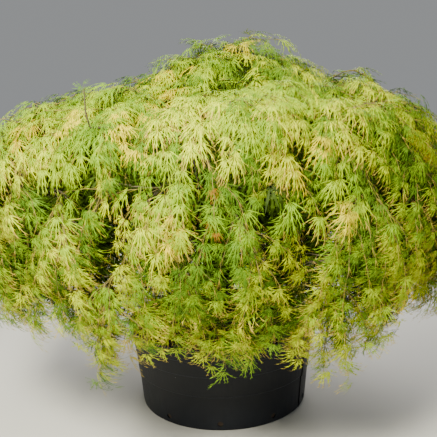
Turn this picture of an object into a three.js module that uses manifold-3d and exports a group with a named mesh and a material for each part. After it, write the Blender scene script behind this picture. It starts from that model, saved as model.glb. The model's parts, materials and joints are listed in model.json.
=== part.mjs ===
// A potted laceleaf maple: a weeping, mound-shaped garden shrub in a wide black nursery tub.
// Millimetres, +Z up. The front faces -Y, and the origin is the centre of the tub's flat underside.
//
// The tub is one thin moulded shell filled with potting mix. A short trunk with root flare stands
// on the mix and forks low. Its boughs arch up and out, and each ends where it enters a mass of
// foliage. The masses are pieces of one wide, uneven mushroom of leaves that is hollow underneath:
// a cap, two rings of masses round it, and a skirt whose sprays hang down past the tub's rim.

import * as THREE from "three";
import { mergeVertices } from "three/addons/utils/BufferGeometryUtils.js";
import Module from "manifold-3d";

const wasm = await Module();
wasm.setup();

// Running clearance between neighbouring solids
const GAP = 0.3;

// The tub: outer sizes, wall, and the steps that stiffen its side
const TUB_BASE_RADIUS = 430;
const TUB_HEIGHT = 430;
const TUB_SLOPE = 0.095;
const TUB_WALL = 7;
const TUB_FLOOR = 8;
const TUB_SIDES = 40;
const TUB_FOOT_ROUND = 6;
const TUB_TIERS = [
  { top: 176, step: 3 },
  { top: 280, step: 2 },
  { top: 354, step: 4 },
];
const RIM_LIP = 8;
const RIM_BEAD = 14;

// Drain holes round the foot of the tub
const DRAIN_COUNT = 10;
const DRAIN_RADIUS = 14;
const DRAIN_HEIGHT = 36;
const DRAIN_FIRST_DEG = -93;
const DRAIN_SIDES = 8;
const DRILL_LENGTH = 8 * TUB_WALL;

// Potting mix: flat round the trunk, a little lower at the wall
const MIX_TOP = 390;
const MIX_EDGE_DROP = 7;
const MIX_FLAT_RADIUS = 300;

// Trunk
const TRUNK_FOOT = MIX_TOP + GAP;
const TRUNK_TOP = 840;
const TRUNK_FOOT_RADIUS = 66;
const TRUNK_FORK_RADIUS = 46;
const TRUNK_LEAN = [46, -18];
const TRUNK_SWAY = 14;
const TRUNK_SIDES = 18;
const TRUNK_RISES = [0, 0.03, 0.08, 0.15, 0.25, 0.4, 0.58, 0.78, 0.93, 1];
const TRUNK_TOP_ROUND = 0.7;
const TRUNK_DOME = 12;
const FLARE_REACH = 62;
const FLARE_HEIGHT = 58;
const FLARE_ROOTS = 5;

// Crown: outer and inner outlines, from the top's middle down to the hem
const CROWN_TOP = 1885;
const CROWN_RADIUS = 1225;
const HEM_HEIGHT = 735;
const OUTER_OUTLINE = [
  [0, CROWN_TOP],
  [230, CROWN_TOP - 18],
  [370, CROWN_TOP - 75],
  [480, CROWN_TOP - 165],
  [600, CROWN_TOP - 226],
  [820, CROWN_TOP - 262],
  [1020, CROWN_TOP - 350],
  [1160, CROWN_TOP - 530],
  [CROWN_RADIUS, CROWN_TOP - 780],
  [CROWN_RADIUS - 10, CROWN_TOP - 960],
  [CROWN_RADIUS - 50, HEM_HEIGHT],
];
const INNER_OUTLINE = [
  [0, CROWN_TOP - 370],
  [300, CROWN_TOP - 395],
  [540, CROWN_TOP - 480],
  [740, CROWN_TOP - 610],
  [880, CROWN_TOP - 770],
  [960, CROWN_TOP - 950],
  [1000, HEM_HEIGHT + 30],
];

// The raised middle stands to the right of the tub's centre, and the right shoulder is the higher
const MOUND_SHIFT = 120;
const SHOULDER_TILT = 16;

// Unevenness of the crown, and the depth of the valleys between masses
const PLAN_UNEVENNESS = 0.022;
const LUMP = 19;
const VALLEY = 48;
const BORDER_WANDER = 0.016;
const SIDE_WANDER_DEG = 2.4;

// Rings of foliage: where each ends along the outline, and how wide its masses are in steps
const STEPS_ROUND = 60;
const STEP_DEG = 360 / STEPS_ROUND;
const CAP_END = 0.2;
const CAP_ROWS = 2;
const SKIRT_WIDTHS = [5, 4, 6, 5, 5, 6, 4, 5, 5, 5, 6, 4];
const RINGS = [
  { name: "foliage_upper", from: CAP_END, to: 0.46, rows: 4, first: 3, widths: [11, 9, 10, 11, 9, 10] },
  { name: "foliage_middle", from: 0.46, to: 0.73, rows: 4, first: 0, widths: [6, 7, 5, 6, 6, 7, 5, 6, 7, 5] },
  { name: "foliage_skirt", from: 0.73, to: 1, rows: 5, first: 2, widths: SKIRT_WIDTHS },
];

// The hem's waves: how many go round it, how deep they are and where they start
const HEM_WAVES = [
  { count: 5, depth: 14, turn: 1 },
  { count: 11, depth: 10, turn: 0 },
];

// Long sprays that hang below the hem: direction from the front, drop and half width
const LOW_SPRAYS = [
  { deg: 0, drop: 70, half: 34 },
  { deg: 0, drop: 55, half: 9 },
  { deg: -24, drop: 165, half: 7 },
  { deg: 24, drop: 175, half: 7 },
  { deg: 36, drop: 75, half: 26 },
  { deg: 66, drop: 90, half: 10 },
  { deg: -78, drop: 110, half: 9 },
  { deg: 114, drop: 150, half: 8 },
  { deg: 162, drop: 80, half: 12 },
  { deg: -138, drop: 130, half: 9 },
];
const FRONT_DEG = -90;

// Boughs: where they leave the trunk and how thick they are
const LEADER = { leave: 800, arch: 0, foot: 34, tip: 16 };
const UPPER_BOUGHS = { count: 6, leave: 770, stagger: 34, arch: 0, foot: 28, tip: 12 };
const LOWER_BOUGHS = { count: 6, leave: 660, stagger: 30, arch: 30, foot: 27, tip: 10 };
const BOUGH_SIDES = 8;
const BOUGH_STEPS = 6;
const BOUGH_SWAY = 46;
const BOUGH_TAPER = 0.8;
const BOUGH_REACH = 0.42;
const LEADER_ALONG = 0.02;
const BOUGH_ALONG = 0.45;

const radians = THREE.MathUtils.degToRad;
const mix = THREE.MathUtils.lerp;
const ease = THREE.MathUtils.smoothstep;

const PLASTIC = new THREE.MeshStandardMaterial({ color: 0x1d1e20, roughness: 0.55, metalness: 0 });
const BARK_MIX = new THREE.MeshStandardMaterial({ color: 0x3c2e24, roughness: 0.95, metalness: 0 });
const BARK = new THREE.MeshStandardMaterial({ color: 0x75695c, roughness: 0.9, metalness: 0 });
const YOUNG_BARK = new THREE.MeshStandardMaterial({ color: 0x6f7350, roughness: 0.8, metalness: 0 });
const UPPER_LEAF = new THREE.MeshStandardMaterial({ color: 0xb4c64a, roughness: 0.7, metalness: 0 });
const MIDDLE_LEAF = new THREE.MeshStandardMaterial({ color: 0x8fae3a, roughness: 0.7, metalness: 0 });
const SKIRT_LEAF = new THREE.MeshStandardMaterial({ color: 0x9db844, roughness: 0.7, metalness: 0 });
const LEAF_OF_RING = { foliage_upper: UPPER_LEAF, foliage_middle: MIDDLE_LEAF, foliage_skirt: SKIRT_LEAF };

const potted_maple = new THREE.Group();

// Adds a named mesh to the plant.
function place(name, geometry, material) {
  const mesh = new THREE.Mesh(geometry, material);
  mesh.name = name;
  potted_maple.add(mesh);
}

// A closed geometry as a solid that can be cut.
function solidOf(geometry) {
  const bare = geometry.clone();
  bare.deleteAttribute("normal");
  bare.deleteAttribute("uv");
  const merged = mergeVertices(bare, 1e-4);
  const vertProperties = new Float32Array(merged.attributes.position.array);
  const triVerts = new Uint32Array(merged.index.array);
  return new wasm.Manifold(new wasm.Mesh({ numProp: 3, vertProperties, triVerts }));
}

// The largest single body of a solid, as a geometry.
function geometryOf(solid) {
  const bodies = solid.decompose().sort((a, b) => b.volume() - a.volume());
  const mesh = bodies[0].getMesh();
  const geometry = new THREE.BufferGeometry();
  geometry.setAttribute("position", new THREE.BufferAttribute(mesh.vertProperties, 3));
  geometry.setIndex(new THREE.BufferAttribute(mesh.triVerts, 1));
  return geometry;
}

// A geometry from points and triangles.
function geometryFrom(points, triangles) {
  const geometry = new THREE.BufferGeometry().setFromPoints(points);
  geometry.setIndex(triangles);
  return geometry;
}

// The tub's outer radius at a height: a plain taper, plus the steps below that height.
function tubRadius(height) {
  const steps = TUB_TIERS.filter((tier) => height > tier.top);
  return TUB_BASE_RADIUS + TUB_SLOPE * height + steps.reduce((sum, tier) => sum + tier.step, 0);
}

// The inside of the tub's wall is one plain taper.
function tubInside(height) {
  const foot = TUB_BASE_RADIUS - TUB_WALL;
  const rim = tubRadius(TUB_HEIGHT) - TUB_WALL;
  return mix(foot, rim, height / TUB_HEIGHT);
}

// The tub as one thin shell, drilled with its drain holes.
function tubShell() {
  const outside = [
    [0, 0],
    [TUB_BASE_RADIUS - TUB_FOOT_ROUND, 0],
    [tubRadius(TUB_FOOT_ROUND), TUB_FOOT_ROUND],
  ];
  for (const tier of TUB_TIERS) {
    outside.push([tubRadius(tier.top), tier.top]);
    outside.push([tubRadius(tier.top) + tier.step, tier.top + tier.step]);
  }
  const lip = tubRadius(TUB_HEIGHT) + RIM_LIP;
  outside.push([tubRadius(TUB_HEIGHT), TUB_HEIGHT - RIM_BEAD]);
  outside.push([lip, TUB_HEIGHT - RIM_BEAD + RIM_LIP / 2]);
  outside.push([lip, TUB_HEIGHT - RIM_LIP / 2]);
  outside.push([lip - RIM_LIP / 2, TUB_HEIGHT]);
  const inside = [
    [tubInside(TUB_HEIGHT), TUB_HEIGHT],
    [tubInside(TUB_FLOOR), TUB_FLOOR],
    [0, TUB_FLOOR],
  ];
  const profile = [...outside, ...inside].map(([r, z]) => new THREE.Vector2(r, z));
  const shell = new THREE.LatheGeometry(profile, TUB_SIDES);
  shell.rotateX(Math.PI / 2);
  let solid = solidOf(shell);
  for (let i = 0; i < DRAIN_COUNT; i++) {
    const angle = radians(DRAIN_FIRST_DEG + (360 / DRAIN_COUNT) * i);
    const drill = new THREE.CylinderGeometry(DRAIN_RADIUS, DRAIN_RADIUS, DRILL_LENGTH, DRAIN_SIDES);
    drill.rotateZ(Math.PI / 2);
    drill.translate(TUB_BASE_RADIUS, 0, DRAIN_HEIGHT);
    drill.rotateZ(angle);
    solid = solid.subtract(solidOf(drill));
  }
  return geometryOf(solid);
}

// The potting mix that fills the tub to just below its rim.
function pottingMix() {
  const profile = [
    [0, TUB_FLOOR + GAP],
    [tubInside(TUB_FLOOR + GAP) - GAP, TUB_FLOOR + GAP],
    [tubInside(MIX_TOP - MIX_EDGE_DROP) - GAP, MIX_TOP - MIX_EDGE_DROP],
    [MIX_FLAT_RADIUS, MIX_TOP],
    [0, MIX_TOP],
  ].map(([r, z]) => new THREE.Vector2(r, z));
  const fill = new THREE.LatheGeometry(profile, TUB_SIDES);
  fill.rotateX(Math.PI / 2);
  return geometryOf(solidOf(fill));
}

// The trunk's centre line leans and sways a little on its way up.
function trunkCentre(height) {
  const up = (height - TRUNK_FOOT) / (TRUNK_TOP - TRUNK_FOOT);
  const sway = TRUNK_SWAY * Math.sin(Math.PI * up);
  return new THREE.Vector3(TRUNK_LEAN[0] * up - sway, TRUNK_LEAN[1] * up + sway / 2, height);
}

// The trunk's radius in one direction: a taper, plus root flare that dies away upwards.
function trunkRadius(height, angle) {
  const up = (height - TRUNK_FOOT) / (TRUNK_TOP - TRUNK_FOOT);
  const ridge = 0.6 + 0.4 * Math.cos(FLARE_ROOTS * angle + 0.7) + 0.2 * Math.sin(2 * angle);
  const flare = FLARE_REACH * ridge * Math.exp(-(height - TRUNK_FOOT) / FLARE_HEIGHT);
  const fluting = 1 + 0.04 * Math.sin(3 * angle + 5 * up);
  return mix(TRUNK_FOOT_RADIUS, TRUNK_FORK_RADIUS, up) * fluting + flare;
}

// The trunk, with its rows set closer where the flare bends most. Grow makes it fatter all round.
function trunkGeometry(grow) {
  const length = TRUNK_TOP - TRUNK_FOOT;
  const points = [];
  TRUNK_RISES.forEach((rise, row) => {
    const height = TRUNK_FOOT + length * rise;
    const centre = trunkCentre(height);
    const round = row === TRUNK_RISES.length - 1 ? TRUNK_TOP_ROUND : 1;
    const lift = row === 0 ? -grow : 0;
    for (let i = 0; i < TRUNK_SIDES; i++) {
      const angle = (2 * Math.PI * i) / TRUNK_SIDES;
      const radius = round * trunkRadius(height, angle) + grow;
      points.push(new THREE.Vector3(radius * Math.cos(angle), radius * Math.sin(angle), lift).add(centre));
    }
  });
  const foot = points.push(trunkCentre(TRUNK_FOOT).add(new THREE.Vector3(0, 0, -grow))) - 1;
  const tip = points.push(trunkCentre(TRUNK_TOP).add(new THREE.Vector3(0, 0, grow + TRUNK_DOME))) - 1;
  return geometryFrom(points, tubeTriangles(TRUNK_RISES.length, TRUNK_SIDES, foot, tip));
}

// Triangles of a tube of rows by sides, closed by a middle point at each end.
function tubeTriangles(rows, sides, first, last) {
  const triangles = [];
  for (let row = 0; row < rows - 1; row++) {
    for (let i = 0; i < sides; i++) {
      const a = row * sides + i;
      const b = row * sides + ((i + 1) % sides);
      triangles.push(a, b, b + sides, a, b + sides, a + sides);
    }
  }
  const top = (rows - 1) * sides;
  for (let i = 0; i < sides; i++) {
    const next = (i + 1) % sides;
    triangles.push(first, next, i, last, top + i, top + next);
  }
  return triangles;
}

// The crown's outlines as smooth curves, each read by its own length from 0 to 1.
function outline(points) {
  const corners = points.map(([r, z]) => new THREE.Vector3(r, 0, z));
  const curve = new THREE.CatmullRomCurve3(corners, false, "centripetal");
  curve.arcLengthDivisions = 400;
  return curve;
}
const outerCurve = outline(OUTER_OUTLINE);
const innerCurve = outline(INNER_OUTLINE);

// How far the hem hangs below its usual height in one direction.
function hemDrop(angle) {
  const degrees = THREE.MathUtils.radToDeg(angle) - FRONT_DEG;
  let drop = 0;
  for (const wave of HEM_WAVES) {
    drop += wave.depth * Math.sin(wave.count * angle + wave.turn);
  }
  for (const spray of LOW_SPRAYS) {
    const away = THREE.MathUtils.euclideanModulo(degrees - spray.deg + 180, 360) - 180;
    drop += spray.drop * Math.max(0, 1 - Math.abs(away) / spray.half);
  }
  return drop;
}

// A point of the crown: round it by angle, along the outline, and through it from outer to inner.
function crownPoint(angle, along, depth, pillow) {
  const outer = outerCurve.getPointAt(THREE.MathUtils.clamp(along, 0, 1));
  const inner = innerCurve.getPointAt(THREE.MathUtils.clamp(along, 0, 1));
  const wide = 1 + PLAN_UNEVENNESS * (Math.sin(2 * angle + 0.6) + Math.sin(5 * angle + 2.1));
  const off = ease(along, 0.05, 0.45);
  const lump = LUMP * off * (Math.sin(7 * angle + 9 * along) + Math.sin(11 * angle - 17 * along + 1.9));
  const proud = lump - VALLEY * (1 - pillow);
  const thickness = outer.distanceTo(inner);
  const reach = depth === 0 ? proud / thickness : -1 - (0.4 * lump) / thickness;
  const point = outer.clone().addScaledVector(outer.clone().sub(inner), reach);
  const drop = hemDrop(angle) * ease(along, 0.8, 1) * (depth === 0 ? 1 : 0.35);
  const shoulder = SHOULDER_TILT * Math.cos(angle) * ease(along, 0.1, 0.35) * (1 - ease(along, 0.45, 0.7));
  const shift = MOUND_SHIFT * (1 - ease(along, 0.12, 0.5));
  const radius = point.x * wide;
  const height = point.z + shoulder - drop;
  return new THREE.Vector3(radius * Math.cos(angle) + shift, radius * Math.sin(angle), height);
}

// The line between two rings wanders up and down as it goes round.
function ringBorder(along, angle) {
  if (along === 1) {
    return 1;
  }
  return along + BORDER_WANDER * (Math.sin(6 * angle + 20 * along) + Math.sin(9 * angle + 3));
}

// The line between two masses of a ring wanders sideways, and is straight at the ring's borders.
function sideBorder(step, across) {
  const turn = 1.7 * (step % STEPS_ROUND) + 5 * across;
  const wander = SIDE_WANDER_DEG * Math.sin(Math.PI * across) * Math.sin(turn);
  return radians(step * STEP_DEG + wander);
}

// One mass of foliage: its outer and inner skins on one grid, and the four walls between them.
// Trim moves its borders in by that much, and out where trim is negative, as its inner skin is.
function massGeometry(ring, first, width, trim) {
  const outer = [];
  const inner = [];
  const alongTrim = trim / outerCurve.getLength();
  for (let row = 0; row <= ring.rows; row++) {
    const across = row / ring.rows;
    const rowTrim = row === 0 ? alongTrim : row === ring.rows ? -alongTrim : 0;
    const left = sideBorder(first, across);
    const right = sideBorder(first + width, across);
    for (let column = 0; column <= width; column++) {
      const beside = column / width;
      const middle = mix(left, right, beside);
      const angleTrim = column === 0 ? 1 : column === width ? -1 : 0;
      const along = mix(ringBorder(ring.from, middle), ringBorder(ring.to, middle), across) + rowTrim;
      const pillow = (1 - Math.abs(2 * beside - 1) ** 6) * (1 - Math.abs(2 * across - 1) ** 6);
      const bare = crownPoint(middle, along, 0, pillow);
      const angle = middle + (angleTrim * trim) / Math.hypot(bare.x, bare.y);
      const skin = crownPoint(angle, along, 0, pillow);
      const lining = crownPoint(angle, along, 1, pillow);
      const inwards = lining.clone().sub(skin).normalize();
      outer.push(skin);
      inner.push(trim < 0 ? lining.addScaledVector(inwards, -2 * trim) : lining);
    }
  }
  return geometryFrom([...outer, ...inner], slabTriangles(ring.rows, width, outer.length));
}

// Triangles of a slab of rows by columns whose second skin starts at point number below.
function slabTriangles(rows, columns, below) {
  const across = columns + 1;
  const triangles = [];
  const quad = (a, b, c, d) => triangles.push(a, b, c, a, c, d);
  for (let row = 0; row < rows; row++) {
    for (let column = 0; column < columns; column++) {
      const a = row * across + column;
      quad(a, a + across, a + across + 1, a + 1);
      const e = a + below;
      quad(e, e + 1, e + across + 1, e + across);
    }
  }
  for (let column = 0; column < columns; column++) {
    const high = column;
    const low = rows * across + column;
    quad(high, high + 1, high + 1 + below, high + below);
    quad(low + 1 + below, low + 1, low, low + below);
  }
  for (let row = 0; row < rows; row++) {
    const left = row * across;
    const right = left + columns;
    quad(left + across + below, left + across, left, left + below);
    quad(right, right + across, right + across + below, right + below);
  }
  return triangles;
}

// The cap of the crown: one round mass whose skins close at a middle point.
function capGeometry(trim) {
  const rings = [];
  const alongTrim = trim / outerCurve.getLength();
  for (const depth of [0, 1]) {
    for (let row = 1; row <= CAP_ROWS; row++) {
      const across = row / CAP_ROWS;
      for (let step = 0; step < STEPS_ROUND; step++) {
        const angle = radians(step * STEP_DEG);
        const along = across * ringBorder(CAP_END, angle) - (row === CAP_ROWS ? alongTrim : 0);
        const skin = crownPoint(angle, along, depth, 1 - across ** 6);
        if (depth === 1 && trim < 0) {
          skin.z += 2 * trim;
        }
        rings.push(skin);
      }
    }
  }
  const skin = CAP_ROWS * STEPS_ROUND;
  const top = rings.push(crownPoint(0, 0, 0, 1)) - 1;
  const under = rings.push(crownPoint(0, 0, 1, 1)) - 1;
  if (trim < 0) {
    rings[under].z += 2 * trim;
  }
  const triangles = [];
  for (let step = 0; step < STEPS_ROUND; step++) {
    const next = (step + 1) % STEPS_ROUND;
    triangles.push(top, step, next, under, skin + next, skin + step);
    for (let row = 0; row < CAP_ROWS - 1; row++) {
      const a = row * STEPS_ROUND + step;
      const b = row * STEPS_ROUND + next;
      const down = STEPS_ROUND;
      triangles.push(a, a + down, b + down, a, b + down, b);
      triangles.push(skin + a, skin + b, skin + b + down, skin + a, skin + b + down, skin + a + down);
    }
    const a = (CAP_ROWS - 1) * STEPS_ROUND + step;
    const b = (CAP_ROWS - 1) * STEPS_ROUND + next;
    triangles.push(b + skin, b, a, b + skin, a, a + skin);
  }
  return geometryFrom(rings, triangles);
}

// A tapering limb along a curve, closed at both ends.
function limbGeometry(curve, foot, tip, grow) {
  const frames = curve.computeFrenetFrames(BOUGH_STEPS, false);
  const points = [];
  for (let row = 0; row <= BOUGH_STEPS; row++) {
    const along = row / BOUGH_STEPS;
    const centre = curve.getPointAt(along);
    const radius = mix(foot, tip, along ** BOUGH_TAPER) + grow;
    for (let i = 0; i < BOUGH_SIDES; i++) {
      const angle = (2 * Math.PI * i) / BOUGH_SIDES;
      const point = centre.clone().addScaledVector(frames.normals[row], radius * Math.cos(angle));
      points.push(point.addScaledVector(frames.binormals[row], radius * Math.sin(angle)));
    }
  }
  const first = points.push(curve.getPointAt(0)) - 1;
  const last = points.push(curve.getPointAt(1)) - 1;
  return geometryFrom(points, tubeTriangles(BOUGH_STEPS + 1, BOUGH_SIDES, first, last));
}

// A bough's curve climbs steeply from the trunk, then arches out and over to its mass.
function boughCurve(leave, angle, along, arch, sway) {
  const from = trunkCentre(leave);
  const outer = crownPoint(angle, along, 0, 1);
  const inner = crownPoint(angle, along, 1, 1);
  const to = inner.clone().lerp(outer, BOUGH_REACH);
  const side = new THREE.Vector3(-Math.sin(angle), Math.cos(angle), 0);
  const bend = (out, up, aside, lift) => {
    const point = from.clone().lerp(to, out).addScaledVector(side, aside * sway);
    point.z = mix(from.z, to.z, up) + lift;
    return point;
  };
  const low = bend(0.22, 0.4, 1, 0);
  const high = bend(0.58, 0.85, -0.7, arch);
  return new THREE.CatmullRomCurve3([from, low, high, to], false, "centripetal");
}

// Lays out every bough as a list of names, curves and thicknesses.
function boughPlans() {
  const plans = [];
  const lowerEvery = RINGS[1].widths.length / LOWER_BOUGHS.count;
  const leaderCurve = boughCurve(LEADER.leave, 0, LEADER_ALONG, LEADER.arch, BOUGH_SWAY);
  plans.push({ name: "bough_leader", curve: leaderCurve, foot: LEADER.foot, tip: LEADER.tip });
  const sets = [
    { name: "bough_upper", ring: RINGS[0], every: 1, ...UPPER_BOUGHS },
    { name: "bough_lower", ring: RINGS[1], every: lowerEvery, ...LOWER_BOUGHS },
  ];
  for (const set of sets) {
    for (let i = 0; i < set.count; i++) {
      const mass = Math.round(i * set.every);
      const before = set.ring.widths.slice(0, mass).reduce((sum, width) => sum + width, set.ring.first);
      const angle = radians((before + set.ring.widths[mass] / 2) * STEP_DEG);
      const leave = set.leave + set.stagger * ((i % 3) - 1);
      const along = mix(set.ring.from, set.ring.to, BOUGH_ALONG);
      const sway = BOUGH_SWAY * (i % 2 === 0 ? 1 : -1);
      const curve = boughCurve(leave, angle, along, set.arch, sway);
      plans.push({ name: `${set.name}_${i + 1}`, curve, foot: set.foot, tip: set.tip });
    }
  }
  return plans;
}

place("tub", tubShell(), PLASTIC);
place("potting_mix", pottingMix(), BARK_MIX);
place("trunk", geometryOf(solidOf(trunkGeometry(0))), BARK);

const foliageCutters = [solidOf(capGeometry(-GAP / 2))];
place("foliage_cap", geometryOf(solidOf(capGeometry(GAP))), UPPER_LEAF);
for (const ring of RINGS) {
  let first = ring.first;
  ring.widths.forEach((width, i) => {
    const mass = geometryOf(solidOf(massGeometry(ring, first, width, GAP)));
    place(`${ring.name}_${i + 1}`, mass, LEAF_OF_RING[ring.name]);
    foliageCutters.push(solidOf(massGeometry(ring, first, width, -GAP / 2)));
    first += width;
  });
}
const foliageCutter = wasm.Manifold.union(foliageCutters);

let woodCutter = solidOf(trunkGeometry(GAP));
for (const plan of boughPlans()) {
  const limb = solidOf(limbGeometry(plan.curve, plan.foot, plan.tip, 0));
  const cut = limb.subtract(woodCutter).subtract(foliageCutter);
  place(plan.name, geometryOf(cut), YOUNG_BARK);
  woodCutter = woodCutter.add(solidOf(limbGeometry(plan.curve, plan.foot, plan.tip, GAP)));
}

export default potted_maple;
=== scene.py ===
# %% [markdown]
# # A potted laceleaf maple
# A nursery grows this weeping maple in a wide black tub until it is sold. Its leaves are cut into
# threads, and they hang in layers over a low dome of arching branches. The frame gives the tub, the
# trunk, the main boughs and one plain solid for each mass of foliage. This lesson keeps every size
# and dresses it: a moulded tub, a bed of bark, real bark on the wood, and more than twenty thousand
# leaves on shoots that grow on from the boughs.

# %% The frame
import json
import math
import random

import bpy
import numpy as np
from mathutils import Matrix, Vector
from mathutils.bvhtree import BVHTree
from mathutils.kdtree import KDTree

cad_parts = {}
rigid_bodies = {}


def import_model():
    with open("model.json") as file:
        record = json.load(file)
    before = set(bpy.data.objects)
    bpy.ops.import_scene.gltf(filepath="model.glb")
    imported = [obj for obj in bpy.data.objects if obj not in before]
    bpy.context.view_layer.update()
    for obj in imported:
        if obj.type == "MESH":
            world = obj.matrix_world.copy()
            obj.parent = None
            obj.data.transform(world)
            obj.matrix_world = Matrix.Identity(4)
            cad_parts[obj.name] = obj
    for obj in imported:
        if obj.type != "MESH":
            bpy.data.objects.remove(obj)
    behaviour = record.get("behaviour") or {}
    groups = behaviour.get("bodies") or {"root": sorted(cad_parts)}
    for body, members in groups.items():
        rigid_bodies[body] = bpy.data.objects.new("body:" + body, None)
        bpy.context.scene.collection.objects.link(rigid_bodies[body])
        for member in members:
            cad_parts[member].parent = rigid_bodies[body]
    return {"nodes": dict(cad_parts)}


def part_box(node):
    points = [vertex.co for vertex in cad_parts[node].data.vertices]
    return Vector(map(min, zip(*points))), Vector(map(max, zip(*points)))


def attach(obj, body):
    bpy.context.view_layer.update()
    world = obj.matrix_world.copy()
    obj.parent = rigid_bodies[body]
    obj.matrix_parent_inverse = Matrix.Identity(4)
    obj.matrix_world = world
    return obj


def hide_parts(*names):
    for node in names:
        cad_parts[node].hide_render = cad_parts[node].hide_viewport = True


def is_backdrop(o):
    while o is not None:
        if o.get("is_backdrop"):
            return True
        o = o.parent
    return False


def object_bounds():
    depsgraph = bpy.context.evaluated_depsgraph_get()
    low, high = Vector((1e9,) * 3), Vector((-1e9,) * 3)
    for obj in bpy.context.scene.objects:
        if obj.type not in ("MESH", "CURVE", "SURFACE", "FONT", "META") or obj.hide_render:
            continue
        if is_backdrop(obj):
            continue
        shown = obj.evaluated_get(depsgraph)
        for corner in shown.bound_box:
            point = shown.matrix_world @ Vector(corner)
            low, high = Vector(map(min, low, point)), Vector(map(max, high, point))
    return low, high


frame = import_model()
cad_box = [list(corner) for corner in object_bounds()]
node_names = sorted(frame["nodes"])
UP = Vector((0, 0, 1))
print("nodes in the frame:", len(node_names))

# %% [markdown]
# ## Small helpers
# A node tree is easier to read when each node is added and wired in one call. The same helper
# serves materials and Geometry Nodes, and short ones built on it take up what most trees share. A
# finished piece is turned into a plain mesh, because the export drops instances and live modifiers
# slow every later step. Places are vectors from the centre of the tub's underside, in metres.

# %% Helpers for node trees
def add(tree, kind, sockets=None, **options):
    """Adds a node, sets its options, and links or sets its sockets by name or number."""
    node = tree.nodes.new(kind)
    for option, value in options.items():
        setattr(node, option, value)
    for key, source in (sockets or {}).items():
        if isinstance(source, bpy.types.NodeSocket):
            tree.links.new(source, node.inputs[key])
        else:
            node.inputs[key].default_value = source
    return node


def attribute(tree, name, kind):
    """The value of a named attribute."""
    return add(tree, "GeometryNodeInputNamedAttribute", {"Name": name}, data_type=kind).outputs[0]


def maths(tree, operation, *values):
    """The result of one sum on sockets or numbers."""
    return add(tree, "ShaderNodeMath", dict(enumerate(values)), operation=operation).outputs[0]


def noise(tree, place, scale, detail, roughness=0.5):
    """A soft random pattern over a place."""
    sockets = {"Vector": place, "Scale": scale, "Detail": detail, "Roughness": roughness}
    return add(tree, "ShaderNodeTexNoise", sockets).outputs[0]


def remap(tree, value, given, wanted):
    """A value moved from one range to another and held at both ends."""
    ends = {0: value, 1: given[0], 2: given[1], 3: wanted[0], 4: wanted[1]}
    return add(tree, "ShaderNodeMapRange", ends).outputs[0]


def two_tones(tree, share, dark, light):
    """A colour between two tones, by a share from 0 to 1."""
    tones = {0: share, 6: (*dark, 1), 7: (*light, 1)}
    return add(tree, "ShaderNodeMix", tones, data_type="RGBA").outputs[2]


def plain_finish(name, colour, roughness):
    """A material with its Principled shader, ready for more nodes."""
    material = bpy.data.materials.new(name)
    material.use_nodes = True
    shader = material.node_tree.nodes["Principled BSDF"]
    shader.inputs["Base Color"].default_value = (*colour, 1)
    shader.inputs["Roughness"].default_value = roughness
    return material, material.node_tree, shader


def roughen(tree, shader, height, strength, distance):
    """Lets a height roughen a shader's surface."""
    bump = add(tree, "ShaderNodeBump", {"Strength": strength, "Distance": distance, "Height": height})
    tree.links.new(bump.outputs[0], shader.inputs["Normal"])


def random_size(tree, least, seed):
    """A random size for each point, up to one."""
    values = {2: least, 3: 1.0, "Seed": seed}
    return add(tree, "FunctionNodeRandomValue", values, data_type="FLOAT").outputs[1]


def scatter(tree, spread, shape, turn, size):
    """Real copies of a shape on all the spread points, each turned and sized."""
    sockets = {
        "Points": spread.outputs["Points"],
        "Instance": shape.outputs["Mesh"],
        "Rotation": turn,
        "Scale": size,
    }
    placed = add(tree, "GeometryNodeInstanceOnPoints", sockets)
    return add(tree, "GeometryNodeRealizeInstances", {"Geometry": placed.outputs[0]}).outputs[0]


def dress(tree, geometry, finish, chosen=True):
    """The geometry with a finish on its chosen faces."""
    sockets = {"Geometry": geometry, "Selection": chosen, "Material": finish}
    return add(tree, "GeometryNodeSetMaterial", sockets).outputs[0]


def geometry_tree(name, inputs):
    """An empty Geometry Nodes tree with named inputs, its input node and a function that ends it."""
    tree = bpy.data.node_groups.new(name, "GeometryNodeTree")
    tree.interface.new_socket("Geometry", in_out="INPUT", socket_type="NodeSocketGeometry")
    for label, kind in inputs:
        tree.interface.new_socket(label, in_out="INPUT", socket_type=kind)
    tree.interface.new_socket("Geometry", in_out="OUTPUT", socket_type="NodeSocketGeometry")
    start = tree.nodes.new("NodeGroupInput")

    def end(socket):
        add(tree, "NodeGroupOutput", {"Geometry": socket})

    return tree, start.outputs, end


def run_tree(piece, tree, values):
    """Puts a tree on a piece, with each input set by its socket's identifier."""
    modifier = piece.modifiers.new(tree.name, "NODES")
    modifier.node_group = tree
    for item in tree.interface.items_tree:
        if item.in_out == "INPUT" and item.name in values:
            modifier[item.identifier] = values[item.name]

# %% Helpers for meshes and pieces
def new_mesh(name, points, faces, edges=()):
    """A mesh from its points and faces, or from bare edges."""
    mesh = bpy.data.meshes.new(name)
    mesh.from_pydata(points, edges, faces)
    mesh.update()
    return mesh


def store(mesh, name, kind, values, domain="POINT"):
    """Stores one value for each point or face of a mesh."""
    field = "vector" if kind == "FLOAT_VECTOR" else "value"
    mesh.attributes.new(name, kind, domain).data.foreach_set(field, values)


def joined(meshes):
    """The vertices and faces of several meshes, as one list of each."""
    points = []
    faces = []
    for mesh in meshes:
        first = len(points)
        points += [vertex.co.copy() for vertex in mesh.vertices]
        faces += [tuple(first + i for i in face.vertices) for face in mesh.polygons]
    return points, faces


def band_faces(rows, width, first=0):
    """The faces between rows of points that each go once round."""
    faces = []
    for row in range(rows - 1):
        low = first + row * width
        for side in range(width):
            after = (side + 1) % width
            faces.append((low + side, low + after, low + width + after, low + width + side))
    return faces


def new_piece(name, mesh):
    """Adds a mesh to the scene as an object at the origin."""
    piece = bpy.data.objects.new(name, mesh)
    bpy.context.scene.collection.objects.link(piece)
    return piece


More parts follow.
